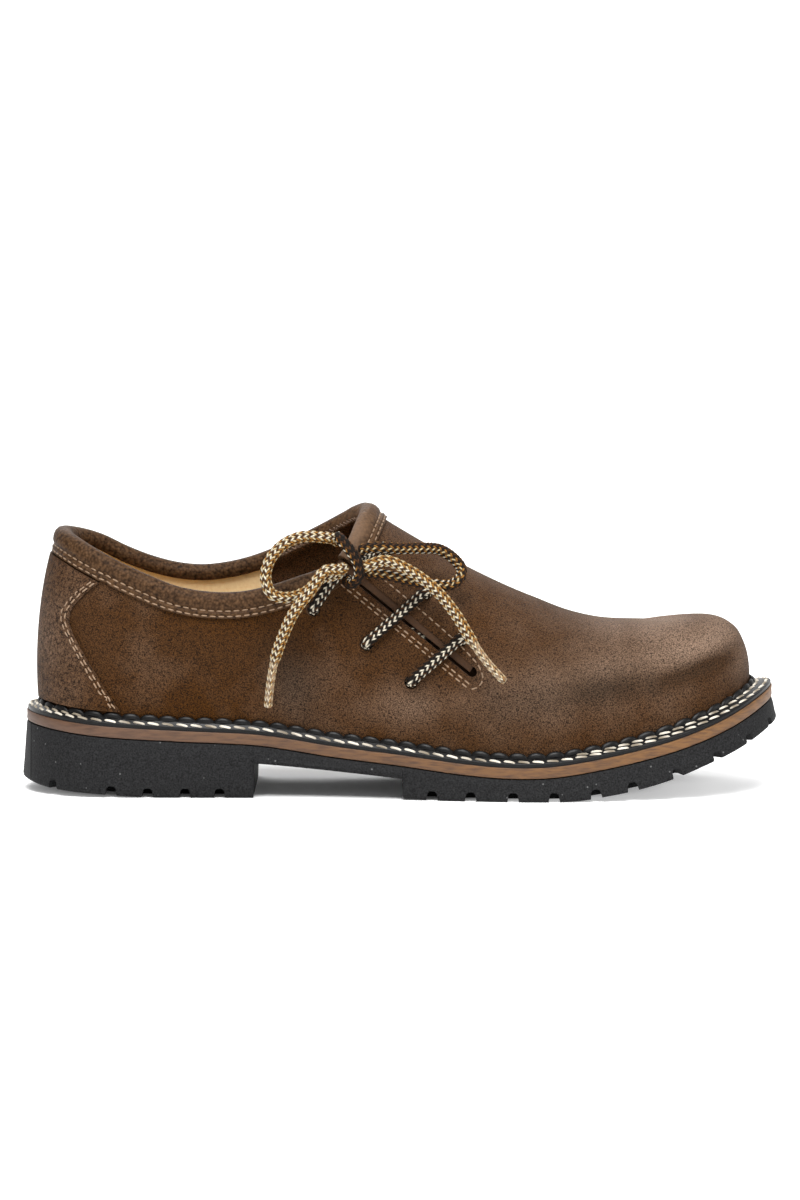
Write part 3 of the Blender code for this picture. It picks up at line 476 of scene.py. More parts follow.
# The side from seat to foot: share of the flare, share of the way down, inset and lift in millimetres.
SOLE_SIDE = table(
    "flare down inset lift",
    [
        (0.0, 0.0, 8.0, 0.0),
        (0.0, 0.0, 0.6, 0.0),
        (0.0, 0.0, 0.2, -0.2),
        (0.0, 0.0, 0.0, -0.8),
        (0.35, 0.3, 0.1, 0.0),
        (0.7, 0.65, 0.1, 0.0),
        (1.0, 1.0, 0.0, 1.4),
        (1.0, 1.0, 0.2, 0.5),
        (1.0, 1.0, 0.7, 0.1),
        (1.0, 1.0, 1.4, 0.0),
        (1.0, 1.0, 8.0, 0.0),
    ],
)
sole_places = both_sides(190, HEEL_BREAST, HEEL_BREAST + STEP_RUN, TREAD_START, TREAD_START + STEP_RUN)
sole_flare, sole_down = SOLE_SIDE["flare"][:, None], SOLE_SIDE["down"][:, None]
sole_out = sole_reach(sole_places) + sole_flare * last("flare", sole_places) - SOLE_SIDE["inset"][:, None]
sole_along, sole_across = in_plan(sole_places[None, :], sole_out)
foot_along = in_plan(sole_places, sole_reach(sole_places) + last("flare", sole_places))[0]
sole_height = seat_height(sole_along) * (1 - sole_down) + sole_foot(foot_along)[None, :] * sole_down
sole_height = np.maximum(sole_height + SOLE_SIDE["lift"][:, None], 0.0)
sole_rings = np.stack([sole_along, sole_across, sole_height], axis=-1)

# Black rubber, moulded and left matte: dark grey with a fine sandy grain and a few pale specks of dust.
# Behind a mould line the back of the heel is scuffed a little paler.
MOULD_LINE, MOULD_HALF = -0.1457, 0.0003
rubber, shader = new_material("moulded_rubber", Roughness=0.7, Specular_IOR_Level=0.12)
place = add_node(rubber, "TexCoord", {}).outputs["Object"]
grit = add_node(rubber, "TexNoise", {"Vector": place, "Scale": 1000 / 0.6, "Detail": 2.0})
dust = add_node(rubber, "TexVoronoi", {"Vector": place, "Scale": 1000 / 5.0})
speck = add_node(
    rubber, "MapRange", {"Value": dust, "From Min": 0.05, "From Max": 0.09, "To Min": 1.0, "To Max": 0.0}
)
sand = add_node(rubber, "MapRange", {"Value": grit, "From Min": 0.2, "From Max": 0.8})
shade = add_node(rubber, "Mix", {"Factor": sand, "A": "#000000", "B": "#2d2d2e"}, data_type="RGBA")
dusty = add_node(rubber, "Mix", {"Factor": speck, "A": shade, "B": "#5a5a5a"}, data_type="RGBA")
length = add_node(rubber, "SeparateXYZ", {"Vector": place}).outputs["X"]
parting = add_node(rubber, "Math", {0: length, 1: MOULD_LINE, 2: MOULD_HALF}, operation="COMPARE")
back = add_node(rubber, "Math", {0: length, 1: MOULD_LINE}, operation="LESS_THAN")
half = add_node(rubber, "Math", {0: back, 1: 0.5}, operation="MULTIPLY")
scuffed = add_node(rubber, "Mix", {"Factor": half, "A": dusty, "B": "#343435"}, data_type="RGBA")
lined = add_node(rubber, "Mix", {"Factor": parting, "A": scuffed, "B": "#020202"}, data_type="RGBA")
rough = add_node(rubber, "Bump", {"Height": grit, "Strength": 0.8, "Distance": 0.25 * MM})
fill(rubber, shader, {"Base Color": lined, "Normal": rough})

outsole = slab("outsole_rubber", sole_rings, rubber)
side_places = np.concatenate([place_of(NOTCH_PLACES * SHOE_LENGTH), FAN_NOTCHES])
notch_places = np.concatenate([side_places, ROUND - side_places, [0.0, TOE_ROW]])
notch_reach = sole_reach(notch_places) + last("flare", notch_places) - LUG_REACH / 2 + LUG_OVER
notch_along, notch_across = in_plan(notch_places, notch_reach)
notch_turn = np.radians(np.interp(station(notch_places), LAST_ROW, LAST["turn"]))
notch_forward = np.sin(notch_turn), np.cos(notch_turn) * np.where(notch_places > TOE_ROW, 1, -1)
notches = groove_cutters(
    "notches",
    notch_along,
    notch_across,
    notch_forward,
    np.full(notch_places.size, LUG_REACH + 2 * LUG_OVER),
    np.full(notch_places.size, LUG_GAP),
)
groove_along = MIDDLE_GROOVES["along"] * SHOE_LENGTH
groove_across = last("axis", place_of(groove_along)) * BALL_WIDTH
sideways = np.zeros(groove_along.size), np.ones(groove_along.size)
grooves = groove_cutters(
    "grooves",
    groove_along,
    groove_across,
    sideways,
    MIDDLE_GROOVES["width"] * BALL_WIDTH,
    np.full(groove_along.size, LUG_GAP),
)
finished(carved(outsole, notches, grooves), "black_rubber", "outsole")


# Midsole
# A through-sole of vegetable-tanned leather, stained brown on its trimmed edge and stitched to the welt.
# It lies between the rubber and the welt, and only its edge shows.

MIDSOLE_WALL, MIDSOLE_TRIM = 4.7, 0.6


def midsole_top(along):
    """The midsole's upper face, with its thickness measured square to the slope."""
    slope = (seat_height(along + 1.0) - seat_height(along - 1.0)) / 2.0
    return seat_height(along) + FIT_GAP + MIDSOLE_WALL * np.sqrt(1.0 + slope**2)


# The edge from its underside up: inset from the sole's edge and share of the thickness. The rim is
# trimmed a little lower than the bed, and the welt's edge comes down to it.
MIDSOLE_EDGE = table(
    "inset share",
    [(8.0, 0.0), (0.7, 0.0), (0.2, 0.04), (0.0, 0.14), (0.12, 0.5), (0.0, 0.80), (0.2, 0.90), (0.6, 0.93)],
)
edge_places = both_sides(190)
edge_reach = sole_reach(edge_places) - MIDSOLE_EDGE["inset"][:, None]
edge_along, edge_across = in_plan(edge_places[None, :], edge_reach)
edge_share = MIDSOLE_EDGE["share"][:, None]
edge_height = (seat_height(edge_along) + FIT_GAP) * (1 - edge_share) + midsole_top(edge_along) * edge_share
bed_along, bed_across = in_plan(edge_places, sole_reach(edge_places) - MIDSOLE_EDGE["inset"][0])
edge_rim = np.stack([edge_along, edge_across, edge_height], axis=-1)
edge_rim[-1, :, 2] = midsole_top(edge_along[-1]) - MIDSOLE_TRIM
midsole_bed = np.column_stack([bed_along, bed_across, midsole_top(bed_along)])
midsole_rings = np.concatenate([edge_rim, midsole_bed[None]])

# Sole leather: pressed fibres lie flat, so the trimmed edge shows streaks along it, under a brown stain
# that is darker at the heel and warmer towards the toe.
sole_leather, shader = new_material("stained_sole_leather", Roughness=0.55)
place = add_node(sole_leather, "TexCoord", {}).outputs["Object"]
flat = add_node(sole_leather, "Mapping", {"Vector": place, "Scale": (0.25, 0.25, 1.6)})
fibre = add_node(sole_leather, "TexNoise", {"Vector": flat, "Scale": 1000 / 1.4, "Detail": 4.0})
length = add_node(sole_leather, "SeparateXYZ", {"Vector": place}).outputs["X"]
warm = add_node(sole_leather, "MapRange", {"Value": length, "From Min": -0.13, "From Max": 0.11})
stain = add_node(sole_leather, "Mix", {"Factor": warm, "A": "#553a27", "B": "#704b22"}, data_type="RGBA")
streak = add_node(
    sole_leather,
    "MapRange",
    {"Value": fibre, "From Min": 0.4, "From Max": 0.68, "To Min": 0.0, "To Max": 0.8},
)
edge_colour = add_node(
    sole_leather, "Mix", {"Factor": streak, "A": stain, "B": "#3f2716"}, data_type="RGBA"
)
fibre_bump = add_node(sole_leather, "Bump", {"Height": fibre, "Strength": 0.5, "Distance": 0.2 * MM})
fill(sole_leather, shader, {"Base Color": edge_colour, "Normal": fibre_bump})
finished(slab("midsole_leather", midsole_rings, sole_leather), "sole_leather", "midsole")


# Welt
# A black storm welt: a flat strip whose upstanding bead is pressed into scallops and hugs the upper.
# It is sewn down to the midsole with thick waxed linen thread, in two rows at the toe and the heel.

SCALLOP_PITCH, BEAD_VALLEY, BEAD_CREST, BEAD_WIDTH = 7.2, 3.3, 4.8, 1.9
SLOPE_TOP, SLOPE_FOOT, WELT_RIM, WELT_INSET = 2.5, 1.15, 0.7, 0.5
TOE_BEAD, TOE_SLOPE, TOE_FROM, TOE_FADE = 1.4, 1.3, 9.5, 3.0
SCALLOP_ROUND, BEAD_SWELL, BEAD_SPARE, RIM_ROUND = 0.55, 0.25, 0.2, 0.4
BEAD_NARROW, SAMPLES_A_SCALLOP = 0.75, 10
# The bead's section from the upper outwards: share of its width and of its height.
BEAD_ROUND = table(
    "out up",
    [
        (0.0, 0.0),
        (0.0, 0.86),
        (0.10, 0.97),
        (0.30, 1.0),
        (0.56, 0.95),
        (0.80, 0.82),
        (0.95, 0.68),
        (1.0, 0.58),
    ],
)


def eased(share):
    """A share held between 0 and 1, with a smooth start and end."""
    share = np.clip(share, 0.0, 1.0)
    return share**2 * (3 - 2 * share)


scallops = round(even_places(8)[1] / SCALLOP_PITCH)
welt_places = even_places(scallops * SAMPLES_A_SCALLOP)[0]
crest = np.abs(np.sin(math.pi * np.arange(welt_places.size) / SAMPLES_A_SCALLOP)) ** SCALLOP_ROUND
toe_share = eased((station(welt_places) - TOE_FROM) / TOE_FADE)
bead_height = BEAD_VALLEY + (BEAD_CREST - BEAD_VALLEY) * crest + TOE_BEAD * toe_share
bead_width = BEAD_WIDTH * (BEAD_NARROW + (1 - BEAD_NARROW) * crest)
bead_up = BEAD_ROUND["up"][:, None] * bead_height
bead_rise = np.clip((bead_up + FIT_GAP) / last("rise", welt_places), 0.0, 1.0)
bead_hug = feather_reach(welt_places) + last("swell", welt_places) * (1 - (1 - bead_rise) ** 2) + FIT_GAP
bead_out = bead_hug + BEAD_ROUND["out"][:, None] * bead_width
bead_up[0] = -MIDSOLE_TRIM
slope_start = feather_reach(welt_places) + last("swell", welt_places) * BEAD_SWELL + BEAD_WIDTH + BEAD_SPARE
welt_edge = sole_reach(welt_places) - WELT_INSET
flange_out = np.stack([slope_start, welt_edge - RIM_ROUND, welt_edge, welt_edge])
slope_top = SLOPE_TOP + TOE_SLOPE * toe_share
flange_up = np.array([0.0, SLOPE_FOOT, WELT_RIM, -MIDSOLE_TRIM])[:, None] + 0 * flange_out
flange_up[0] = slope_top
welt_out, welt_up = np.vstack([bead_out, flange_out]), np.vstack([bead_up, flange_up])
welt_along, welt_across = in_plan(welt_places[None, :], welt_out)
welt_height = midsole_top(welt_along) + FIT_GAP + welt_up
welt_rows = np.stack([welt_along, welt_across, welt_height], axis=-1)
welt_faces = grid_quads(len(welt_rows) + 1, welt_places.size, wrap=True)
welt_points = np.concatenate([welt_rows, welt_rows[:1]])

# Black welting leather with a waxed finish: near black, satin, with a soft grain.
welt_leather, shader = new_material("waxed_black_welting", Roughness=0.36, Specular_IOR_Level=0.2)
place = add_node(welt_leather, "TexCoord", {}).outputs["Object"]
grain = add_node(welt_leather, "TexNoise", {"Vector": place, "Scale": 1000 / 1.1, "Detail": 4.0})
black = add_node(welt_leather, "Mix", {"Factor": grain, "A": "#070707", "B": "#151414"}, data_type="RGBA")
grain_bump = add_node(welt_leather, "Bump", {"Height": grain, "Strength": 0.45, "Distance": 0.2 * MM})
fill(welt_leather, shader, {"Base Color": black, "Normal": grain_bump})
welt = closed_outwards(new_piece("scalloped_welt", in_frame(welt_points), welt_faces, welt_leather))
finished(welt, "black_welt", "welt")

# One stitch: share of the length, share of the thread's radius and how far it sinks, in thread radii.
STITCH = table(
    "share radius sink",
    [
        (-0.5, 0.35, 1.5),
        (-0.46, 0.75, 0.9),
        (-0.32, 1.0, 0.2),
        (0.0, 1.05, 0.0),
        (0.32, 1.0, 0.2),
        (0.46, 0.75, 0.9),
        (0.5, 0.35, 1.5),
    ],
)
STITCH_SIDES, STITCH_FLAT, STITCH_RISE = 6, 0.8, 0.35


def unit(vectors):
    """Vectors brought to length 1."""
    return vectors / np.linalg.norm(vectors, axis=-1, keepdims=True)


def tube_faces(rings, sides):
    """Faces of a closed tube: quads between its rings and a cap at each end."""
    caps = [list(range(sides)), list(range((rings - 1) * sides, rings * sides))]
    return grid_quads(rings, sides, wrap=True) + caps


def stitch_row(line, normals, pitch, length, thread, slant=0.0):
    """Stitches along a line: at even lengths, a short tube whose ends dip into the material.

    Each ring of a stitch lies across the line, in the plane of the surface's normal and the line's side.
    A slant moves its two ends to opposite sides of the line.
    """
    run = run_along(line)
    count = max(int(run[-1] / pitch), 1)
    middles = (np.arange(count) + 0.5) * run[-1] / count
    lengths = middles[:, None] + STITCH["share"] * length
    at = np.stack([np.interp(lengths, run, line[:, i]) for i in range(3)], axis=-1)
    out = unit(np.stack([np.interp(lengths, run, normals[:, i]) for i in range(3)], axis=-1))
    side = unit(np.cross(at[:, -1:] - at[:, :1], out))
    radius = thread / 2 * STITCH["radius"]
    turn = np.linspace(0.0, 2 * math.pi, STITCH_SIDES, endpoint=False)
    ring = np.cos(turn)[:, None] * side[:, :, None] + STITCH_FLAT * np.sin(turn)[:, None] * out[:, :, None]
    middle = at + out * (thread / 2 * (STITCH_RISE - STITCH["sink"]))[:, None]
    middle = middle + side * (slant * length * STITCH["share"])[:, None]
    points = middle[:, :, None] + ring * radius[:, None, None]
    size = STITCH["share"].size * STITCH_SIDES
    one = tube_faces(STITCH["share"].size, STITCH_SIDES)
    return points.reshape(-1, 3), [[k * size + i for i in face] for k in range(count) for face in one]


def sewn(name, rows, material, slot):
    """One piece from several rows of stitches."""
    points, faces, start = [], [], 0
    for row_points, row_faces in rows:
        points.append(row_points)
        faces += [[i + start for i in face] for face in row_faces]
        start += len(row_points)
    return finished(closed_outwards(new_piece(name, in_frame(np.vstack(points)), faces, material)), slot)


# Waxed linen thread, off-white and laid in two plies: a slanting twist shows as fine grooves.
linen, shader = new_material("waxed_linen_thread", Roughness=0.6)
place = add_node(linen, "TexCoord", {}).outputs["Object"]
ply = add_node(
    linen,
    "TexWave",
    {"Vector": place, "Scale": 1000 / 1.1 / 20, "Distortion": 1.5, "Detail": 1.0},
    bands_direction="DIAGONAL",
)
pale = add_node(
    linen, "Mix", {"Factor": ply.outputs["Fac"], "A": "#7d7261", "B": "#ddd5c6"}, data_type="RGBA"
)
ply_bump = add_node(linen, "Bump", {"Height": ply.outputs["Fac"], "Strength": 0.5, "Distance": 0.15 * MM})
fill(linen, shader, {"Base Color": pale, "Normal": ply_bump})

# Pitch, length, thread and slant of the welt's stitches; where its rows lie on the slope, and how far the
# second row runs on each side of the toe and of the heel.
WELT_SEAM = (5.6, 5.0, 1.0, 0.16)
OUTER_ROW, INNER_ROW, TOE_DOUBLE, HEEL_DOUBLE = 0.78, 0.20, 4.3, 2.4


def welt_slope(share):
    """A line round the welt's slope at a share of the way from the bead's foot to the edge."""
    along, across = in_plan(welt_places, slope_start + share * (welt_edge - RIM_ROUND - slope_start))
    up = slope_top + share * (SLOPE_FOOT - slope_top)
    return np.column_stack([along, across, midsole_top(along) + FIT_GAP + up])


# The outer row runs all the way round; the inner one shows where the welt is wide, at toe and heel.
# The heel's row is taken from places turned half round, so that it runs on past the first one.
half_round = welt_places.size // 2
near_toe = np.abs(welt_places - TOE_ROW) < TOE_DOUBLE
near_heel = np.roll(station(welt_places) < HEEL_DOUBLE, half_round)
all_round = np.ones_like(near_toe)
welt_rows_sewn = []
for share, turned, shown in (
    (OUTER_ROW, 0, all_round),
    (INNER_ROW, 0, near_toe),
    (INNER_ROW, half_round, near_heel),
):
    row, beside = (np.roll(welt_slope(share + d), turned, axis=0) for d in (0.0, 0.1))
    row_normal = np.cross(beside - row, np.gradient(row, axis=0))
    row_normal = unit(row_normal) * np.sign(row_normal[:, 2:])
    closing = [0] if shown.all() else []
    keep = np.append(np.flatnonzero(shown), closing).astype(int)
    welt_rows_sewn.append(stitch_row(row[keep], row_normal[keep], *WELT_SEAM))
sewn("welt_stitches", welt_rows_sewn, linen, "tan_lining")


# Insole
# A leather sock that lies on the midsole inside the shoe, smooth side up and left in its natural tan.
# It is cut to the inside of the wall, its edge is rounded over, and it is glued in.

UPPER_WALL, INSOLE_CLEARANCE = 2.0, 0.7
INSOLE_EDGE = table(
    "inset up", [(8.0, 0.0), (0.4, 0.0), (0.0, 0.5), (0.0, 2.3), (0.4, 2.8), (1.4, 3.0), (8.0, 3.0)]
)
sock_places = both_sides(120)
sock_reach = feather_reach(sock_places) - UPPER_WALL - INSOLE_CLEARANCE - INSOLE_EDGE["inset"][:, None]
sock_along, sock_across = in_plan(sock_places[None, :], sock_reach)
sock_height = midsole_top(sock_along) + FIT_GAP + INSOLE_EDGE["up"][:, None]
sock_rings = np.stack([sock_along, sock_across, sock_height], axis=-1)

# Natural lining leather: pale tan, smooth, with faint clouds, and pores drawn coarser than real.
tan, shader = new_material("natural_lining_leather", Roughness=0.6)
place = add_node(tan, "TexCoord", {}).outputs["Object"]
cloud = add_node(tan, "TexNoise", {"Vector": place, "Scale": 1000 / 18.0, "Detail": 3.0})
pore = add_node(tan, "TexNoise", {"Vector": place, "Scale": 1000 / 1.2, "Detail": 3.0})
tone = add_node(tan, "Mix", {"Factor": cloud, "A": "#b98f5c", "B": "#dfba84"}, data_type="RGBA")
pore_bump = add_node(tan, "Bump", {"Height": pore, "Strength": 0.3, "Distance": 0.15 * MM})
fill(tan, shader, {"Base Color": tone, "Normal": pore_bump})
finished(slab("insole_leather", sock_rings, tan), "tan_lining", "insole")


# Upper
# Vamp and quarters of oiled brown nubuck, pulled over the last and lined with tan leather. The side slit
# and the lace holes are cut through it; the toe box is stiffened and stands out under the leather.

TOE_LIFT = 3.3
# The collar's line on the two sides, as shares of the shoe's length and of the instep's height.
COLLAR = table(
    "along outer inner",
    [
        (0.0267, 0.912, 0.912),
        (0.0528, 0.8925, 0.8925),
        (0.0967, 0.835, 0.855),
        (0.1333, 0.786, 0.807),
        (0.1700, 0.743, 0.769),
        (0.2033, 0.709, 0.747),
        (0.2400, 0.689, 0.740),
        (0.2667, 0.684, 0.748),
        (0.2967, 0.688, 0.766),
        (0.3267, 0.704, 0.794),
        (0.3700, 0.740, 0.850),
        (0.4000, 0.768, 0.892),
        (0.4200, 0.798, 0.922),
        (0.4333, 0.840, 0.943),
        (0.4433, 0.890, 0.960),
        (0.4517, 0.938, 0.969),
        (0.4585, 0.973, 0.973),
    ],
)
THROAT_FOOT, THROAT_PEAK = 0.4250 * SHOE_LENGTH, 0.4585 * SHOE_LENGTH
LOW_STEPS, HIGH_STEPS = 50, 110
PLACES = np.linspace(0.0, ROUND, 841)
SHARES = np.linspace(0.0, 1.0, 161)


def at_lengths(wanted, lengths, values):
    """Values at wanted lengths along each row's own line, straight between its points."""
    i = np.clip((lengths[:, None, :] <= wanted[:, :, None]).sum(-1) - 1, 0, lengths.shape[1] - 2)
    low, high = np.take_along_axis(lengths, i, 1), np.take_along_axis(lengths, i + 1, 1)
    f = np.clip((wanted - low) / np.maximum(high - low, 1e-9), 0.0, 1.0)
    return np.take_along_axis(values, i, 1) * (1 - f) + np.take_along_axis(values, i + 1, 1) * f


def last_sections():
    """The last's half-sections: a parabola from the feather out to the fullest point, a superellipse from
    there to the crown, and round the toe a lift in front of the crown."""
    row = PLACES[:, None]
    feather = feather_reach(row)
    foot = midsole_top(in_plan(row, feather)[0]) + FIT_GAP
    full, full_height = feather + last("swell", row), foot + last("rise", row)
    crown = last("crown", row) * INSTEP_HEIGHT
    low = np.linspace(0.0, 1.0, LOW_STEPS, endpoint=False)
    turn = np.linspace(0.0, math.pi / 2, HIGH_STEPS)
    over = full * np.maximum(np.cos(turn), 0.0) ** (2 / last("roof", row))
    reach = np.hstack([full - (full - feather) * (1 - low) ** 2, over])
    reach[:, -1] = 0.0
    rounding = np.sin(turn) ** (2 / last("wall", row))
    height = np.hstack([foot + last("rise", row) * low, full_height + (crown - full_height) * rounding])
    forward = np.sin(np.radians(np.interp(station(row), LAST_ROW, LAST["turn"])))
    share = np.clip(reach / full, 0.0, 1.0) ** 2
    height = height + 4 * TOE_LIFT * np.maximum(forward, 0.0) * share * (1 - share)
    along, across = in_plan(row, reach)
    return np.stack([along, across, height], axis=-1)


sections = last_sections()
section_steps = np.linalg.norm(np.diff(sections, axis=1), axis=-1)
section_runs = np.hstack([np.zeros((PLACES.size, 1)), np.cumsum(section_steps, axis=1)])
FULL_ARC = section_runs[:, -1]
SKIN = np.stack(
    [at_lengths(SHARES * FULL_ARC[:, None], section_runs, sections[..., i]) for i in range(3)], axis=-1
)
skin_round = np.concatenate([SKIN[-2:-1], SKIN, SKIN[1:2]])
skin_cross = np.cross(np.gradient(skin_round, axis=0)[1:-1], np.gradient(SKIN, axis=1))
skin_cross[:, -2:] = skin_cross[:, -3:-2]
SKIN_NORMAL = unit(skin_cross)


def from_grid(grid, place, share):
    """A value between the four nearest points of the last's grid."""
    p = np.clip(place / ROUND * (PLACES.size - 1), 0.0, PLACES.size - 1.001)
    s = np.clip(share * (SHARES.size - 1), 0.0, SHARES.size - 1.001)
    i, j = p.astype(int), s.astype(int)
    a, b = (p - i)[..., None], (s - j)[..., None]
    low = grid[i, j] * (1 - a) + grid[i + 1, j] * a
    high = grid[i, j + 1] * (1 - a) + grid[i + 1, j + 1] * a
    return low * (1 - b) + high * b


def skin(place, arc, lift=0.0):
    """The last's surface at a place round the shoe and a length up from the feather, lifted off it.

    A length that goes on past the crown comes down again on the other side.
    """
    place, arc, lift = np.broadcast_arrays(np.mod(place, ROUND), arc, lift)
    beyond = arc - np.interp(place, PLACES, FULL_ARC)
    far = ROUND - place
    arc = np.where(beyond > 0, np.interp(far, PLACES, FULL_ARC) - beyond, arc)
    place = np.where(beyond > 0, far, place)
    share = arc / np.interp(place, PLACES, FULL_ARC)
    return from_grid(SKIN, place, share) + lift[..., None] * unit(from_grid(SKIN_NORMAL, place, share))


def skin_normal(place, arc):
    """The direction square to the last's surface: the step from it to a lift of 1."""
    return skin(place, arc, 1.0) - skin(place, arc)


def collar_arcs():
    """The length from the feather to the collar's edge or, in front of the throat, to the crown."""
    inner = PLACES[:, None] > TOE_ROW
    along = SKIN[..., 0] / SHOE_LENGTH
    outer_line = hermite(along, COLLAR["along"], COLLAR["outer"] * INSTEP_HEIGHT)
    inner_line = hermite(along, COLLAR["along"], COLLAR["inner"] * INSTEP_HEIGHT)
    over = SKIN[..., 2] - np.where(inner, inner_line, outer_line)
    over = np.where(SKIN[..., 0] > THROAT_PEAK, -1.0, over)
    k = np.maximum(np.argmax(over >= 0, axis=1), 1)
    rows = np.arange(PLACES.size)
    before, after = over[rows, k - 1], over[rows, k]
    share = SHARES[k - 1] + (SHARES[k] - SHARES[k - 1]) * -before / np.maximum(after - before, 1e-9)
    return np.where((over >= 0).any(axis=1), share, 1.0) * FULL_ARC


COLLAR_ARC = collar_arcs()


def edge_arc(place):
    """The collar's length up from the feather, straight between the places of the grid."""
    return np.interp(np.mod(place, ROUND), PLACES, COLLAR_ARC)


def side_arc(place, height):
    """The length up from the feather at which the wall reaches a height."""
    heights = from_grid(SKIN, np.asarray(place)[..., None], SHARES)[..., 2].reshape(-1, SHARES.size)
    share = at_lengths(height.reshape(-1, 1), heights, np.tile(SHARES, (height.size, 1)))
    return share.reshape(height.shape) * np.interp(place, PLACES, FULL_ARC)


def outer_side(along, height, lift=0.0):
    """Points over the outer side of the upper, given as seen from the side."""
    along, height = np.broadcast_arrays(np.asarray(along, float), np.asarray(height, float))
    place = place_of(along)
    return skin(place, side_arc(place, height), lift)


# Soft troughs and ridges of the leather as seen from the side: from one point to another, with a half
# width and a lift in millimetres. The first four are the toe box's shoulder, the others the flex of the
# ball and the slack of the quarter.
STROKE = "from_x from_z to_x to_z width amount"
FOLDS = table(
    STROKE,
    [
        (282, 61, 257, 52, 2.8, 1.0),
        (258, 52, 222, 46, 4.2, 0.9),
        (280, 53.5, 254, 45.5, 3.2, -1.3),
        (255, 45.5, 205, 40, 5.0, -0.9),
        (214, 66, 205, 44, 6.0, -0.35),
        (203, 70, 192, 42, 5.0, 0.35),
        (100, 62, 92, 40, 8.0, -0.5),
        (80, 66, 72, 44, 7.0, 0.4),
        (128, 60, 120, 40, 7.0, 0.4),
        (168, 40, 152, 30, 6.0, -0.4),
    ],
)


def soft_stroke(x, z, stroke, width):
    """A bell round a line between two points of the side view, fading past its ends."""
    from_x, from_z, to_x, to_z = stroke
    run_x, run_z = to_x - from_x, to_z - from_z
    share = np.clip(((x - from_x) * run_x + (z - from_z) * run_z) / (run_x**2 + run_z**2), 0.0, 1.0)
    off = np.hypot(x - from_x - share * run_x, z - from_z - share * run_z)
    fade = 0.35 + 0.65 * np.sin(math.pi * np.clip(share, 0.04, 0.96)) ** 0.5
    return np.exp(-((off / width) ** 2)) * fade


def soft_strokes(points, strokes):
    """The sum of the strokes' bells over points in millimetres, the same on both sides of the shoe."""
    total = np.zeros(points.shape[:-1])
    for *stroke, width, amount in zip(*(strokes[name] for name in STROKE.split())):
        total += amount * soft_stroke(points[..., 0], points[..., 2], stroke, width)
    return total


LOW_ROWS, HIGH_ROWS, LOW_TOP = 18, 42, 0.36
throat = place_of(np.linspace(THROAT_FOOT, THROAT_PEAK, 12))
wall_places = np.unique(np.concatenate([even_places(330)[0], throat, ROUND - throat]))
wall_full = np.interp(wall_places, PLACES, FULL_ARC)
wall_low = np.linspace(0.0, LOW_TOP, LOW_ROWS, endpoint=False)[:, None] * wall_full
wall_high = LOW_TOP * wall_full + np.linspace(0.0, 1.0, HIGH_ROWS)[:, None] * (
    edge_arc(wall_places) - LOW_TOP * wall_full
)
wall_arc = np.vstack([wall_low, wall_high])
outside = skin(wall_places, wall_arc)
outside = skin(wall_places, wall_arc, soft_strokes(outside, FOLDS))
inside = skin(wall_places, wall_arc, -UPPER_WALL)
rows, columns = wall_arc.shape
shell = grid_quads(rows, columns, wrap=True)
count = rows * columns
ends = np.arange(columns), count - columns + np.arange(columns)
rims = [np.stack([r, r + count, np.roll(r, -1) + count, np.roll(r, -1)], axis=-1) for r in ends]
upper_faces = shell + [[i + count for i in face[::-1]] for face in shell] + np.vstack(rims).tolist()

# Oiled nubuck: the buffed grain side, pebbled and matt. Pulled over the toe it blooms to a greyed taupe,
# and a painted highlight lightens the top of the toe box and its shoulder ridge; low on the quarters it
# stays a deep golden brown. A painted shade darkens it along the shoulder's crease and under the collar,
# and a darker patch lies on the quarter. The pebble and the nap are drawn coarser than real, so that they
# show, and their colour follows their bump, a painted shade in the pits and a painted highlight on the
# tops.
nubuck, shader = new_material("oiled_nubuck", Roughness=0.6, Specular_IOR_Level=0.06)
place = add_node(nubuck, "TexCoord", {}).outputs["Object"]
# This attribute mixes in the taupe bloom, with a painted highlight on the toe box and a painted shade in
# its crease.
bloom_and_painted_light = add_node(nubuck, "Attribute", {}, attribute_name="bloom_and_painted_light").outputs["Fac"]
gold = add_node(nubuck, "Attribute", {}, attribute_name="gold").outputs["Fac"]
pebble = add_node(nubuck, "TexVoronoi", {"Vector": place, "Scale": 1000 / 0.55, "Randomness": 1.0})
nap = add_node(nubuck, "TexNoise", {"Vector": place, "Scale": 1000 / 0.42, "Detail": 1.0})
cloud = add_node(nubuck, "TexNoise", {"Vector": place, "Scale": 1000 / 22.0, "Detail": 4.0})
warm = add_node(nubuck, "Mix", {"Factor": gold, "A": "#3c2715", "B": "#382007"}, data_type="RGBA")
mottled = add_node(nubuck, "Math", {0: cloud, 1: 0.5}, operation="SUBTRACT")
bloom_and_light_share = add_node(nubuck, "Math", {0: mottled, 1: 0.6, 2: bloom_and_painted_light}, operation="MULTIPLY_ADD", use_clamp=True)
taupe = add_node(nubuck, "Mix", {"Factor": bloom_and_light_share, "A": warm, "B": "#735f50"}, data_type="RGBA")
# This attribute mixes in a painted shade along the toe box's shoulder crease, and a darker patch on the
# quarter.
shade_and_dark = add_node(nubuck, "Attribute", {}, attribute_name="shade_and_dark").outputs["Fac"]
shaded_and_dark = add_node(nubuck, "Mix", {"Factor": shade_and_dark, "A": taupe, "B": "#2c231b"}, data_type="RGBA")
coarse = add_node(nubuck, "Attribute", {}, attribute_name="coarse").outputs["Fac"]
crackle = add_node(nubuck, "TexVoronoi", {"Vector": place, "Scale": 1000 / 1.6})
crevice = add_node(nubuck, "Math", {0: crackle, 1: 0.45}, operation="SUBTRACT")
creased = add_node(nubuck, "Math", {0: crevice, 1: coarse}, operation="MULTIPLY")
napped = add_node(nubuck, "Math", {0: pebble, 1: -0.55, 2: nap}, operation="MULTIPLY_ADD")
grain = add_node(nubuck, "Math", {0: creased, 1: -0.6, 2: napped}, operation="MULTIPLY_ADD")
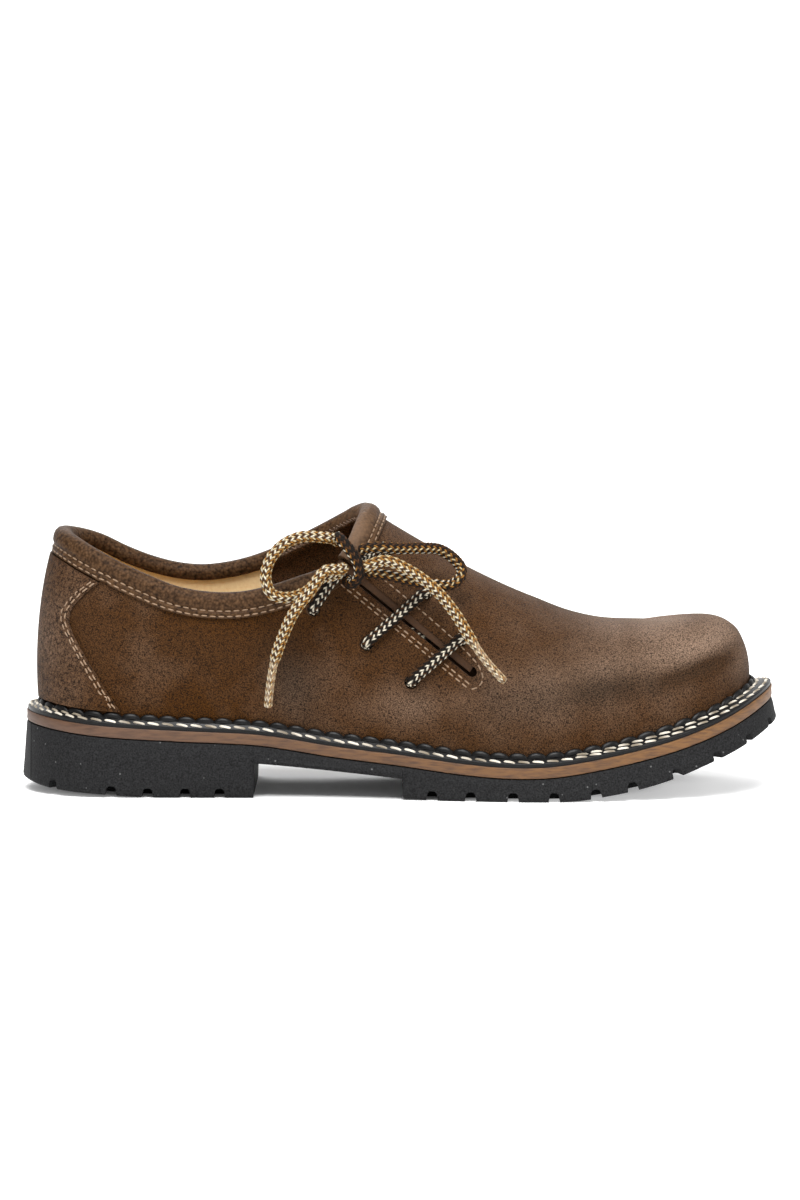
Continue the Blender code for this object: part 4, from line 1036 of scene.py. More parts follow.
# The grain's colour follows its bump: a painted shade in the pits and a painted highlight on the tops.
pit_shade = add_node(
    nubuck, "MapRange", {"Value": grain, "From Min": -0.06, "From Max": 0.46, "To Min": 0.2, "To Max": 1.82}
)
pit_shaded = add_node(nubuck, "VectorMath", {0: shaded_and_dark, "Scale": pit_shade}, operation="SCALE")
pebble_bump = add_node(nubuck, "Bump", {"Height": grain, "Strength": 0.9, "Distance": 0.4 * MM})
fill(nubuck, shader, {"Base Color": pit_shaded, "Normal": pebble_bump})

# Lining leather inside: smooth tan from the heel to the lacing, and a dark brown facing from there on.
FACING_FROM, FACING_TO = -0.0545, -0.0535
lining, shader = new_material("lining_and_facing", Roughness=0.65)
place = add_node(lining, "TexCoord", {}).outputs["Object"]
length = add_node(lining, "SeparateXYZ", {"Vector": place}).outputs["X"]
facing = add_node(lining, "MapRange", {"Value": length, "From Min": FACING_FROM, "From Max": FACING_TO})
pore = add_node(lining, "TexNoise", {"Vector": place, "Scale": 1000 / 1.3, "Detail": 3.0})
tan_tone = add_node(lining, "Mix", {"Factor": pore, "A": "#e0bc86", "B": "#f8e2b4"}, data_type="RGBA")
brown_tone = add_node(lining, "Mix", {"Factor": pore, "A": "#342313", "B": "#553b24"}, data_type="RGBA")
lined = add_node(lining, "Mix", {"Factor": facing, "A": tan_tone, "B": brown_tone}, data_type="RGBA")
pore_bump = add_node(lining, "Bump", {"Height": pore, "Strength": 0.3, "Distance": 0.2 * MM})
fill(lining, shader, {"Base Color": lined, "Normal": pore_bump})

# The cut edge of the leather, where the undyed fibre shows orange brown.
raw_edge, shader = new_material("raw_cut_leather", Roughness=0.85)
place = add_node(raw_edge, "TexCoord", {}).outputs["Object"]
fuzz = add_node(raw_edge, "TexNoise", {"Vector": place, "Scale": 1000 / 0.8, "Detail": 4.0})
raw_tone = add_node(raw_edge, "Mix", {"Factor": fuzz, "A": "#241404", "B": "#513111"}, data_type="RGBA")
fill(raw_edge, shader, {"Base Color": raw_tone})

# The slit from its end over the ball up past the collar, and the lace holes from the top down.
SLIT_FOOT, SLIT_HEAD = np.array([177.5, 49.0]), np.array([121.0, 94.05])
SLIT_RUN = np.linalg.norm(SLIT_HEAD - SLIT_FOOT)
SLIT_WAY = (SLIT_HEAD - SLIT_FOOT) / SLIT_RUN
SLIT_SQUARE = np.array([SLIT_WAY[1], -SLIT_WAY[0]])
SLIT_LOW, SLIT_HIGH = -0.9, 3.0
QUARTER_HOLES = np.array([(0.3867, 0.646), (0.4567, 0.530), (0.5150, 0.402)]) * [SHOE_LENGTH, INSTEP_HEIGHT]
VAMP_HOLES = np.array([(0.4817, 0.837), (0.5333, 0.697), (0.5800, 0.545)]) * [SHOE_LENGTH, INSTEP_HEIGHT]
HOLE_DIAMETER, HOLE_SIDES, HOLE_INSIDE, HOLE_OUTSIDE = 5.6, 20, -5.0, 4.0
SLIT_OUTSIDE, SLIT_INSIDE = -70.0, -10.0


def by_the_slit(up, off):
    """Side-view points at a length up the slit from its end and a distance off towards the vamp."""
    return SLIT_FOOT + np.asarray(up)[..., None] * SLIT_WAY + np.asarray(off)[..., None] * SLIT_SQUARE


def slit_cutter():
    """A slot's outline with a round end, as seen from the side, carried across the outer wall."""
    turn = np.linspace(math.pi / 2, 3 * math.pi / 2, 9)
    half, middle = (SLIT_HIGH - SLIT_LOW) / 2, (SLIT_HIGH + SLIT_LOW) / 2
    up = np.append(half * np.cos(turn), [SLIT_RUN, SLIT_RUN])
    off = np.append(middle + half * np.sin(turn), [SLIT_LOW, SLIT_HIGH])
    flat = by_the_slit(up, off)
    across = np.array([SLIT_OUTSIDE, SLIT_INSIDE])[:, None] + np.zeros(len(flat))
    points = np.stack([flat[:, 0] + 0 * across, across, flat[:, 1] + 0 * across], axis=-1)
    return closed_outwards(
        new_piece("slit_cutter", in_frame(points), prism_faces(len(flat)), nubuck, lining, raw_edge)
    )


def hole_cutters():
    """Round prisms through the wall at the lace holes, square to the leather."""
    holes = np.vstack([QUARTER_HOLES, VAMP_HOLES])
    middle = outer_side(*holes.T)
    out = outer_side(*holes.T, 1.0) - middle
    side = unit(np.cross(out, [0.0, 0.0, 1.0]))
    up = np.cross(side, out)
    turn = np.linspace(0.0, 2 * math.pi, HOLE_SIDES, endpoint=False)[:, None]
    ring = HOLE_DIAMETER / 2 * (np.cos(turn) * side[:, None] + np.sin(turn) * up[:, None])
    ends = [middle[:, None] + ring + depth * out[:, None] for depth in (HOLE_INSIDE, HOLE_OUTSIDE)]
    faces = prism_faces(HOLE_SIDES, len(holes))
    points = np.stack(ends, axis=1)
    return closed_outwards(new_piece("hole_cutters", in_frame(points), faces, nubuck, lining, raw_edge))


upper_points = in_frame(np.stack([outside, inside]))
upper = new_piece("nubuck_upper", upper_points, upper_faces, nubuck, lining, raw_edge)
slots = np.zeros(len(upper_faces), int)
slots[len(shell) : 2 * len(shell)] = 1
upper.data.polygons.foreach_set("material_index", slots)
cutters = [slit_cutter(), hole_cutters()]
for cutter in cutters:
    cutter.data.polygons.foreach_set("material_index", np.full(len(cutter.data.polygons), 2))
carved(upper, *cutters)

# Where the leather blooms, stays golden or is darker, in strokes like those of the folds. On the toe box
# the bloom's spot on the top is partly a painted highlight, its strokes along the shoulder's ridge are a
# painted highlight, and its negative strokes along the crease below are a painted shade, as are the third
# table's last three strokes; under the collar the golden and the negative strokes are a painted shade. The
# third table's first stroke is a darker patch on the quarter.
BLOOM_AND_PAINTED_LIGHT = table(
    STROKE,
    [
        # On the toe's top, a bloom that is partly a painted highlight.
        (268, 72, 240, 70, 18, 0.85),
        # Along the toe box's shoulder ridge, a painted highlight.
        (283, 65, 264, 56, 6, 0.55),
        (264, 56, 224, 48, 7, 0.28),
        (286, 58, 287, 46, 5, 0.30),
        # Under the collar, a painted shade.
        (120, 66, 45, 80, 12, -0.20),
        (222, 44, 190, 40, 13, 0.35),
        (218, 72, 160, 98, 16, 0.16),
        (112, 46, 100, 40, 13, 0.22),
        (168, 38, 138, 37, 9, 0.28),
        # Along the crease below the shoulder, a painted shade.
        (280, 54, 254, 45.5, 3.5, -0.40),
        (254, 47, 215, 41, 5, -0.15),
        (284, 46, 240, 34, 9, 0.10),
    ],
)
GOLD = table(
    STROKE,
    [
        (150, 34, 40, 34, 17, 0.9),
        # Under the collar, a painted shade.
        (120, 66, 45, 80, 13, 0.9),
        (205, 66, 185, 76, 13, 0.45),
        (158, 88, 190, 66, 14, 0.55),
        (262, 34, 190, 24, 14, 0.15),
    ],
)
SHADE_AND_DARK_STROKES = table(
    STROKE,
    [
        (104, 58, 112, 34, 10, 0.6),
        # Along the crease below the toe box's shoulder, a painted shade.
        (222, 42, 246, 45, 6, 0.6),
        (190, 37, 222, 42, 8, 0.4),
        (279, 53, 250, 44, 4, 0.5),
    ],
)


def side_shade(made, name, strokes, base=0.0):
    """Sum soft strokes over a piece's points as seen from the side and keep them as an attribute."""
    places = np.zeros(len(made.data.vertices) * 3)
    made.data.vertices.foreach_get("co", places)
    total = base + soft_strokes(places.reshape(-1, 3) / MM + SOLE_MIDDLE, strokes)
    attribute = made.data.attributes.new(name, "FLOAT", "POINT")
    attribute.data.foreach_set("value", np.clip(total, 0.0, 1.0).astype(np.float32))


side_shade(upper, "bloom_and_painted_light", BLOOM_AND_PAINTED_LIGHT, base=0.03)
side_shade(upper, "gold", GOLD, base=0.15)
side_shade(upper, "shade_and_dark", SHADE_AND_DARK_STROKES)
side_shade(upper, "coarse", table(STROKE, [(45, 64, 70, 40, 26, 0.35)]))
finished(upper, "brown_nubuck", "upper")


# Heel counter
# A second panel of the same nubuck laid over the back of the quarters, skived at its edge and held by
# two rows of fine thread. Its front edge sweeps in to a waist and out again to the welt.

COUNTER_EDGE = table(
    "height along",
    [
        (0.263, 0.1420),
        (0.430, 0.1020),
        (0.510, 0.0840),
        (0.560, 0.0735),
        (0.600, 0.0693),
        (0.640, 0.0725),
        (0.690, 0.0880),
        (0.745, 0.1150),
        (0.807, 0.1533),
    ],
)
COUNTER_WALL, COUNTER_LIFT, BINDING_DROP = 1.3, 0.5, 8.0
COUNTER_ROWS, COUNTER_COLUMNS = 56, 121
SKIVE_SHARE, SKIVE_RUN, PLACE_STEP = 0.55, 0.7, 0.05
FRONT_TRIED = np.linspace(0.5, 5.0, 271)


def counter_arc(place, share):
    """The length up the wall at a share of the way from the welt's bead to the collar binding."""
    low = BEAD_CREST + 2 * FIT_GAP
    near, far = (skin(place + d, edge_arc(place + d)) for d in (-PLACE_STEP, PLACE_STEP))
    fall = np.abs(far - near)[..., 2] / np.linalg.norm(far - near, axis=-1)
    high = edge_arc(place) - (BINDING_DROP + 3 * FIT_GAP) / np.sqrt(1.0 - fall**2)
    return low + share * (high - low)


def counter_front(share, side):
    """The place on each row where the counter's front edge lies; side is 1 outside and -1 inside."""
    tried = FRONT_TRIED[:, None] + 0 * share[None, :]
    place = np.where(side > 0, tried, ROUND - tried)
    points = skin(place, counter_arc(place, share[None, :]))
    edge = hermite(points[..., 2] / INSTEP_HEIGHT, COUNTER_EDGE["height"], COUNTER_EDGE["along"])
    return tried[np.argmax(points[..., 0] >= edge * SHOE_LENGTH, axis=0), 0]


counter_share = np.linspace(0.0, 1.0, COUNTER_ROWS)
front_outer, front_inner = counter_front(counter_share, 1), counter_front(counter_share, -1)
counter_cross = np.linspace(-1.0, 1.0, COUNTER_COLUMNS)[None, :]
counter_place = -counter_cross * np.where(counter_cross < 0, front_outer[:, None], front_inner[:, None])
counter_up = counter_arc(counter_place, counter_share[:, None])
counter_under = skin(counter_place, counter_up, COUNTER_LIFT)
counter_line = skin(counter_place, counter_up)
from_front = np.minimum(
    np.linalg.norm(counter_line - counter_line[:, :1], axis=-1),
    np.linalg.norm(counter_line - counter_line[:, -1:], axis=-1),
)
skived = COUNTER_WALL * (1.0 - SKIVE_SHARE * np.exp(-from_front / SKIVE_RUN))
counter_over = skin(counter_place, counter_up, COUNTER_LIFT + skived)


def shell_faces(rows, columns):
    """Faces of the solid between two grids of the same size, one stored after the other."""
    size = rows * columns
    sheet = grid_quads(rows, columns)
    top = size - columns
    rim = list(range(columns)) + [r * columns + columns - 1 for r in range(1, rows)]
    rim += list(range(top + columns - 2, top - 1, -1)) + [r * columns for r in range(rows - 2, 0, -1)]
    walls = [[a, b, b + size, a + size] for a, b in zip(rim, rim[1:] + rim[:1])]
    return sheet + [[i + size for i in face] for face in sheet] + walls


def leaf(name, under, over, material):
    """A thin piece between two grids of points."""
    points = in_frame(np.stack([under, over]))
    return closed_outwards(new_piece(name, points, shell_faces(*over.shape[:2]), material))


counter = leaf("heel_counter_panel", counter_under, counter_over, nubuck)
side_shade(counter, "bloom_and_painted_light", table(STROKE, [(14, 70, 12, 46, 14, 0.22)]), base=0.08)
side_shade(counter, "gold", table(STROKE, [(40, 40, 20, 34, 14, 0.3)]), base=0.1)
side_shade(counter, "coarse", table(STROKE, [(20, 80, 20, 50, 20, 0.35)]), base=0.55)
finished(counter, "brown_nubuck", "heel_counter")

# Fine polyester thread in a pinkish beige. Its twist is too fine to show and is drawn as coarser flecks.
beige, shader = new_material("beige_polyester_thread", Roughness=0.5)
place = add_node(beige, "TexCoord", {}).outputs["Object"]
ply = add_node(beige, "TexNoise", {"Vector": place, "Scale": 1000 / 0.7, "Detail": 2.0})
pink = add_node(beige, "Mix", {"Factor": ply, "A": "#5f4732", "B": "#a88c70"}, data_type="RGBA")
fill(beige, shader, {"Base Color": pink})

# Pitch, length and thread of the fine seams, and how far the counter's two rows lie from its edge.
FINE_SEAM = (3.3, 2.5, 0.58)
COUNTER_SEAMS = (1.5, 3.6)
SEAM_SHARES = np.linspace(0.02, 0.985, 160)
counter_rows = []
for side, front in ((1, front_outer), (-1, front_inner)):
    edge_front = np.interp(SEAM_SHARES, counter_share, front)
    edge_place = edge_front if side > 0 else ROUND - edge_front
    edge_up = counter_arc(edge_place, SEAM_SHARES)
    edge_line = skin(edge_place, edge_up)
    back = unit(np.cross(np.gradient(edge_line, axis=0), skin_normal(edge_place, edge_up)))
    beside = skin(edge_place + PLACE_STEP, counter_arc(edge_place + PLACE_STEP, SEAM_SHARES))
    step = np.linalg.norm(beside - edge_line, axis=1) / PLACE_STEP
    for inset in COUNTER_SEAMS:
        seam_place = edge_place - side * inset / step * np.linalg.norm(back[:, :2], axis=1)
        seam_up = counter_arc(seam_place, SEAM_SHARES)
        line = skin(seam_place, seam_up, COUNTER_LIFT + COUNTER_WALL)
        counter_rows.append(stitch_row(line, skin_normal(seam_place, seam_up), *FINE_SEAM))
sewn("counter_stitches", counter_rows, beige, "tan_lining")


# Tongue and slit facing
# A leather underlay is sewn behind the slit. Its fold lies close under the vamp's edge, where a narrow
# raw strip of it shows, and the rest drops back to make room for the lace and the foot.

TONGUE_DEPTH, TONGUE_WALL, TONGUE_SIDE = 7.5, 1.6, 15.0
TONGUE_START, TONGUE_END, TONGUE_RAMP = -0.24, 0.84, 0.28
TONGUE_ROWS, TONGUE_COLUMNS = 40, 24
tongue_share = np.linspace(TONGUE_START, TONGUE_END, TONGUE_ROWS)[:, None]
tongue_off = np.linspace(-TONGUE_SIDE, TONGUE_SIDE, TONGUE_COLUMNS)[None, :] + 0 * tongue_share
near = UPPER_WALL + 2 * FIT_GAP
ramp = eased((tongue_share - TONGUE_START) / TONGUE_RAMP)
tongue_depth = near + (TONGUE_DEPTH - near) * ramp + 0 * tongue_off
tongue_flat = np.moveaxis(by_the_slit(tongue_share * SLIT_RUN + 0 * tongue_off, tongue_off), -1, 0)
tongue_over = outer_side(*tongue_flat, -tongue_depth)
tongue_under = outer_side(*tongue_flat, -tongue_depth - TONGUE_WALL)
finished(leaf("tongue_leather", tongue_under, tongue_over, raw_edge), "brown_nubuck", "tongue")

FACING_ROWS, FACING_COLUMNS = 60, 6
FACING_START, FACING_END, FACING_EDGE, FACING_LAP = 1.0, 0.93 * SLIT_RUN, 0.7, 0.1
FACING_LOW, FACING_HIGH = -1.5, -0.7
facing_up = np.linspace(FACING_START, FACING_END, FACING_ROWS)[:, None]
facing_off = np.linspace(FACING_EDGE, SLIT_HIGH + FACING_LAP, FACING_COLUMNS)[None, :] + 0 * facing_up
facing_flat = np.moveaxis(by_the_slit(facing_up + 0 * facing_off, facing_off), -1, 0)
facing_lift = np.linspace(FACING_LOW, FACING_HIGH, FACING_COLUMNS) + 0 * facing_off
facing_over = outer_side(*facing_flat, facing_lift)
facing_under = outer_side(*facing_flat, -UPPER_WALL + 0 * facing_off)
facing_strip = leaf("slit_facing", facing_under, facing_over, raw_edge)
finished(facing_strip, "brown_nubuck")

# The quarter's two rows: their distance off the slit, and where they start and end up its length.
QUARTER_SEAMS = (-3.2, -4.8)
QUARTER_SEAM_UP = np.linspace(-2.5, 0.90 * SLIT_RUN, 60)
# The vamp's single row: length up the slit and distance off it, round the slit's end to the quarter.
VAMP_SEAM = table(
    "up off",
    [
        (60, 7.0),
        (44, 7.0),
        (28, 6.8),
        (14, 6.3),
        (6, 5.6),
        (0, 4.6),
        (-4, 2.6),
        (-5.4, 0.0),
        (-5.0, -2.6),
        (-3.4, -4.6),
    ],
)
seam_lines = [by_the_slit(QUARTER_SEAM_UP, off + 0 * QUARTER_SEAM_UP) for off in QUARTER_SEAMS]
seam_knots = np.linspace(0.0, 1.0, len(VAMP_SEAM["up"]))
seam_at = np.linspace(0.0, 1.0, 120)
seam_lines.append(by_the_slit(*(hermite(seam_at, seam_knots, VAMP_SEAM[key]) for key in ("up", "off"))))
slit_rows = []
for flat in seam_lines:
    line = outer_side(*flat.T)
    slit_rows.append(stitch_row(line, outer_side(*flat.T, 1.0) - line, *FINE_SEAM))
sewn("slit_stitches", slit_rows, beige, "tan_lining")


# Collar binding
# A strip of soft smooth leather rolled over the padded collar, from the slit round the heel and over the
# throat back to the slit. Two rows of fine thread hold its lower edge.

BINDING_ENDS = np.array([0.4117, 0.4260]) * SHOE_LENGTH
BACK_STEPS, INNER_STEPS, FRONT_STEPS = 110, 150, 28
# The roll's section: lift off the leather and drop below the collar's edge.
BINDING_ROLL = table(
    "lift drop",
    [
        (0.45, 8.0),
        (1.15, 8.2),
        (1.40, 7.9),
        (1.10, 7.3),
        (1.50, 6.8),
        (1.70, 6.25),
        (1.45, 5.7),
        (1.00, 5.2),
        (1.60, 4.6),
        (2.25, 3.5),
        (2.55, 1.8),
        (2.40, 0.1),
        (1.60, -1.4),
        (0.30, -2.2),
        (-1.20, -2.45),
        (-2.80, -2.1),
        (-4.10, -1.1),
        (-4.65, 0.2),
        (-4.60, 1.6),
        (-4.20, 2.9),
        (-3.70, 3.6),
        (-2.80, 3.7),
        (-2.70, 1.6),
        (-2.70, -0.45),
        (-0.80, -0.50),
        (0.45, -0.45),
        (0.45, 4.0),
    ],
)


def collar_places():
    """Places along the collar: from the slit back round the heel, along the inner side, over the throat."""
    rear, front = place_of(BINDING_ENDS)
    peak = place_of(THROAT_PEAK)
    back = np.linspace(rear, 0.0, BACK_STEPS, endpoint=False)
    inner = ROUND - np.linspace(0.0, peak, INNER_STEPS)
    over = np.linspace(peak, front, FRONT_STEPS)[1:]
    return np.concatenate([back, [0.0], inner[1:], over])


# The surface's directions are measured a little under the collar's edge, over a short way each.
EDGE_INSET, HALF_ARC, HALF_PLACE = 0.7, 0.6, 0.03


def below_collar(place, drop, lift):
    """Points at a drop below the collar's edge, square to it and along the leather, and a lift off it.

    The step down is solved in the two directions of the surface; above the edge it goes straight on.
    """
    arc = edge_arc(place)
    edge = skin(place, arc)
    near = arc - EDGE_INSET
    normal = unit(skin_normal(place, near))
    down = np.cross(normal, unit(np.gradient(edge, axis=0)))
    around = (skin(place + HALF_PLACE, near) - skin(place - HALF_PLACE, near)) / (2 * HALF_PLACE)
    up = (skin(place, near + HALF_ARC) - skin(place, near - HALF_ARC)) / (2 * HALF_ARC)
    aa, au, uu = ((a * b).sum(axis=1) for a, b in ((around, around), (around, up), (up, up)))
    ad, ud = (around * down).sum(axis=1), (up * down).sum(axis=1)
    det = aa * uu - au**2
    step_place, step_arc = (uu * ad - au * ud) / det, (aa * ud - au * ad) / det
    drop, lift = np.broadcast_arrays(drop, lift)
    on_skin = skin(
        place[:, None] + np.maximum(drop, 0.0) * step_place[:, None],
        arc[:, None] + np.maximum(drop, 0.0) * step_arc[:, None],
        lift + 0 * place[:, None],
    )
    past = edge[:, None] + lift[..., None] * normal[:, None] + drop[..., None] * down[:, None]
    return np.where((drop > 0)[..., None], on_skin, past), normal


collar_path = collar_places()
roll, _ = below_collar(collar_path, BINDING_ROLL["drop"][None, :], BINDING_ROLL["lift"][None, :])

# Soft collar leather: smooth, softly creased, a greyer brown than the nubuck with a low satin. Its creases
# are drawn coarser than real, so that they show, and their colour follows their bump, a painted shade in
# the hollows and a painted highlight on the tops. Over the throat the roll takes a further painted
# highlight.
collar_leather, shader = new_material("soft_collar_leather", Roughness=0.55, Specular_IOR_Level=0.08)
place = add_node(collar_leather, "TexCoord", {}).outputs["Object"]
crease = add_node(collar_leather, "TexNoise", {"Vector": place, "Scale": 1000 / 1.6, "Detail": 3.0})
fine = add_node(collar_leather, "TexVoronoi", {"Vector": place, "Scale": 1000 / 1.1})
height = add_node(collar_leather, "Math", {0: fine, 1: -0.5, 2: crease}, operation="MULTIPLY_ADD")
# A painted shade in the creases' hollows and a painted highlight on their tops.
crease_shading = add_node(collar_leather, "MapRange", {"Value": height, "From Min": -0.05, "From Max": 0.6})
collar_tone = add_node(
    collar_leather, "Mix", {"Factor": crease_shading, "A": "#1f1207", "B": "#5a412b"}, data_type="RGBA"
)
# This attribute lightens the roll over the throat, a painted highlight.
throat_highlight = add_node(collar_leather, "Attribute", {}, attribute_name="bloom_and_painted_light").outputs["Fac"]
collar_shade = add_node(
    collar_leather, "Mix", {"Factor": throat_highlight, "A": collar_tone, "B": "#7b624e"}, data_type="RGBA"
)
crease_bump = add_node(collar_leather, "Bump", {"Height": height, "Strength": 0.6, "Distance": 0.4 * MM})
fill(collar_leather, shader, {"Base Color": collar_shade, "Normal": crease_bump})
binding = new_piece("collar_roll", in_frame(roll), tube_faces(*roll.shape[:2]), collar_leather)
closed_outwards(binding)
# A painted highlight on the roll over the throat.
side_shade(binding, "bloom_and_painted_light", table(STROKE, [(128, 98, 136, 108, 5, 0.6)]))
finished(binding, "collar_leather", "collar_binding")

# Inside the throat the facing laps over the roll and ends in a pinked edge, along which a painted highlight
# lightens the teeth. Its section is given as the roll's is.
PINK_PITCH, PINK_DEPTH, PINK_COLUMNS, PINK_WALL = 2.0, 1.3, 201, 0.45
PINK_FROM, PINK_TO, PINK_HIGHLIGHT = 95.9, 135.5, 1.6
PINKED = table(
    "lift drop",
    [
        (-5.05, -0.70),
        (-5.10, 1.20),
        (-4.90, 2.20),
        (-4.50, 3.20),
        (-3.90, 4.40),
        (-3.00, 6.50),
        (-2.60, 9.00),
        (-2.50, 18.0),
    ],
)
pink_place = ROUND - place_of(np.linspace(PINK_FROM, PINK_TO, PINK_COLUMNS))
pink_run = run_along(skin(pink_place, edge_arc(pink_place)))
tooth = PINK_DEPTH * 2 * np.abs(pink_run / PINK_PITCH % 1.0 - 0.5)
profile = np.stack([PINKED["lift"], PINKED["drop"]]) + np.zeros((PINK_COLUMNS, 2, 1))
slope = np.gradient(profile, axis=2)
slope /= np.linalg.norm(slope, axis=1, keepdims=True)
profile[:, :, 0] += tooth[:, None] * slope[:, :, 0]
off_roll = np.stack([-slope[:, 1], slope[:, 0]], axis=1)
pink_sheet = []
for depth in (0.0, PINK_WALL):
    pink_lift, pink_drop = np.moveaxis(profile + depth * off_roll, 1, 0)
    pink_sheet.append(np.swapaxes(below_collar(pink_place, pink_drop, pink_lift)[0], 0, 1))
pinked = leaf("pinked_facing", *pink_sheet, nubuck)
# A painted highlight: the edge row of the teeth is lightened to the bloom's taupe.
teeth_highlight = np.zeros((2, PINKED["drop"].size, PINK_COLUMNS))
teeth_highlight[:, 0] = PINK_HIGHLIGHT
pinked.data.attributes.new("bloom_and_painted_light", "FLOAT", "POINT").data.foreach_set("value", teeth_highlight.ravel())
finished(pinked, "brown_nubuck")

# The binding's two rows: their drop below the collar's edge and their lift off the leather.
BINDING_SEAMS, BINDING_SEAM_LIFT = np.array([[5.2, 7.3]]), 1.15
seams, seam_normal = below_collar(collar_path, BINDING_SEAMS, BINDING_SEAM_LIFT)
collar_rows = [stitch_row(seams[2:-2, i], seam_normal[2:-2], *FINE_SEAM) for i in range(BINDING_SEAMS.size)]
sewn("collar_stitches", collar_rows, beige, "tan_lining")


# Lace
# One round braided cord of cream, ochre and dark brown yarns. It bars the slit, returns behind the
# leather, and is tied in a bow over the collar; its ends are drawn thin and sealed.

LACE_DIAMETER, LACE_TIP_DIAMETER = 4.4, 3.2
LACE_OVER, LACE_UNDER = LACE_DIAMETER / 2 + 0.4, -UPPER_WALL - LACE_DIAMETER / 2 - 0.4
RUN_STEP, RUN_CLEAR, HOLE_MOUTH = 9.0, 4.6, 1.1
CLIMB = table("share lift", [(0.25, 4.0), (0.45, 5.3)])
KNOT_PLACE = np.array([0.4360 * SHOE_LENGTH, -0.375 * BALL_WIDTH, 0.818 * INSTEP_HEIGHT])
KNOT_HALF, KNOT_LEAN, KNOT_STUB = np.array([4.0, 4.5, 7.5]), math.radians(-18), 2.5
BRAID_CELLS, BRAID_PITCH, BRAID_RELIEF = 14, 1.35, 0.4
BRAID_STEP, BRAID_SIDES, BRAID_EASE = 0.24, 70, 12
TIP_LENGTH, TIP_TAPER, TIP_RELIEF, END_ROUND = 21.0, 3.0, 0.65, 1.0
YARN_SHADE, TIP_COLOUR = 0.06, "#ae9a82"


def bow(*rows):
    """A strand of the bow from shares of the length, the ball width and the instep height."""
    return np.array(rows) * [SHOE_LENGTH, BALL_WIDTH, INSTEP_HEIGHT]


def off_knot(forward, outward, up):
    """Two points of a strand that leaves the knot this way, square to its face: on it and beyond."""
    way = np.array([forward, -outward, up]) / math.sqrt(forward**2 + outward**2 + up**2)
    cos, sin = math.cos(KNOT_LEAN), math.sin(KNOT_LEAN)
    turn = np.array([[cos, 0.0, sin], [0.0, 1.0, 0.0], [-sin, 0.0, cos]])
    own = turn.T @ way
    face = KNOT_PLACE + turn @ (KNOT_HALF**2 * own / np.linalg.norm(KNOT_HALF * own))
    return np.array([face + FIT_GAP * way, face + (FIT_GAP + KNOT_STUB) * way])


def lace_route(holes):
    """The lace from the knot through the holes and back, over and under the leather by turns."""
    knot = KNOT_PLACE[[0, 2]]
    stops = [knot, *holes, knot]
    rows = []
    for i, (start, end) in enumerate(zip(stops, stops[1:])):
        long = np.linalg.norm(end - start)
        lift = LACE_OVER if i % 2 == 0 else LACE_UNDER
        near = 0.95 * (lift + UPPER_WALL / 2) - UPPER_WALL / 2
        mouth = HOLE_MOUTH * (end - start) / long
        if i > 0:
            rows += [(*start, -UPPER_WALL / 2), (*(start + mouth), near)]
        if 0 < i < len(holes):
            count = max(int(round(long / RUN_STEP)), 2)
            shares = np.linspace(RUN_CLEAR / long, 1 - RUN_CLEAR / long, count + 1)
            rows += [(*(start + f * (end - start)), lift) for f in shares]
        if i < len(holes):
            rows.append((*(end - mouth), near))
    for share, lift in zip(CLIMB["share"], CLIMB["lift"]):
        rows.append((*(holes[-1] + share * (knot - holes[-1])), lift))
    along, height, lift = np.array(rows).T
    on_leather = outer_side(along, height, lift)
    return np.vstack([off_knot(0.6, -0.75, 0.1), on_leather, off_knot(-0.75, -0.45, -0.5)[::-1]])


def smooth_path(points, step):
    """A smooth curve through a line's points, at even steps."""
    knots = run_along(points)
    dense = np.linspace(0.0, knots[-1], int(knots[-1] / step * 2))
    curve = np.column_stack([hermite(dense, knots, points[:, i]) for i in range(3)])
    run = run_along(curve)
    even = np.linspace(0.0, run[-1], int(run[-1] / step))
    return np.column_stack([np.interp(even, run, curve[:, i]) for i in range(3)]), even


def carried_frames(path):
    """Two directions across a path that turn with it as little as they can."""
    ahead = unit(np.gradient(path, axis=0))
    side = np.cross(ahead[0], [0.13, 0.31, 0.94])
    sides = []
    for way in ahead:
        side = unit(side - way * (side @ way))
        sides.append(side)
    sides = np.array(sides)
    return sides, np.cross(ahead, sides)


# The braid's columns, round the cord from the one that faces out, each with two yarns by turns: light
# ones with ochre in the bow and brown in the loop that lies in front. In the bars and the knot's wrap the
# same cord is given darker yarns of black and white, a painted shade.
CREAM, WHITE, OCHRE, BROWN, BLACK = "#d2bd92", "#e2d8c2", "#9a6a2e", "#4c3018", "#1b130c"
LIGHT_YARNS = 2 * [
    (WHITE, BROWN), (CREAM, BROWN), (WHITE, OCHRE), (CREAM, BROWN),
    (CREAM, OCHRE), (OCHRE, BROWN), (CREAM, OCHRE),
]
SHADED_BAR_YARNS = 2 * [
    (WHITE, BLACK), (BLACK, BROWN), (WHITE, BLACK), (BLACK, BROWN),
    (BROWN, BLACK), (BLACK, BLACK), (BLACK, WHITE),
]
BROWN_YARNS = 2 * [
    (BROWN, CREAM), (BLACK, OCHRE), (WHITE, BLACK), (OCHRE, BROWN),
    (BLACK, BROWN), (BROWN, BLACK), (OCHRE, BLACK),
]
SHADED_WRAP_YARNS = 2 * [
    (BROWN, BLACK), (BLACK, OCHRE), (WHITE, BLACK), (BLACK, BROWN),
    (BROWN, BLACK), (BLACK, BLACK), (BLACK, BROWN),
]

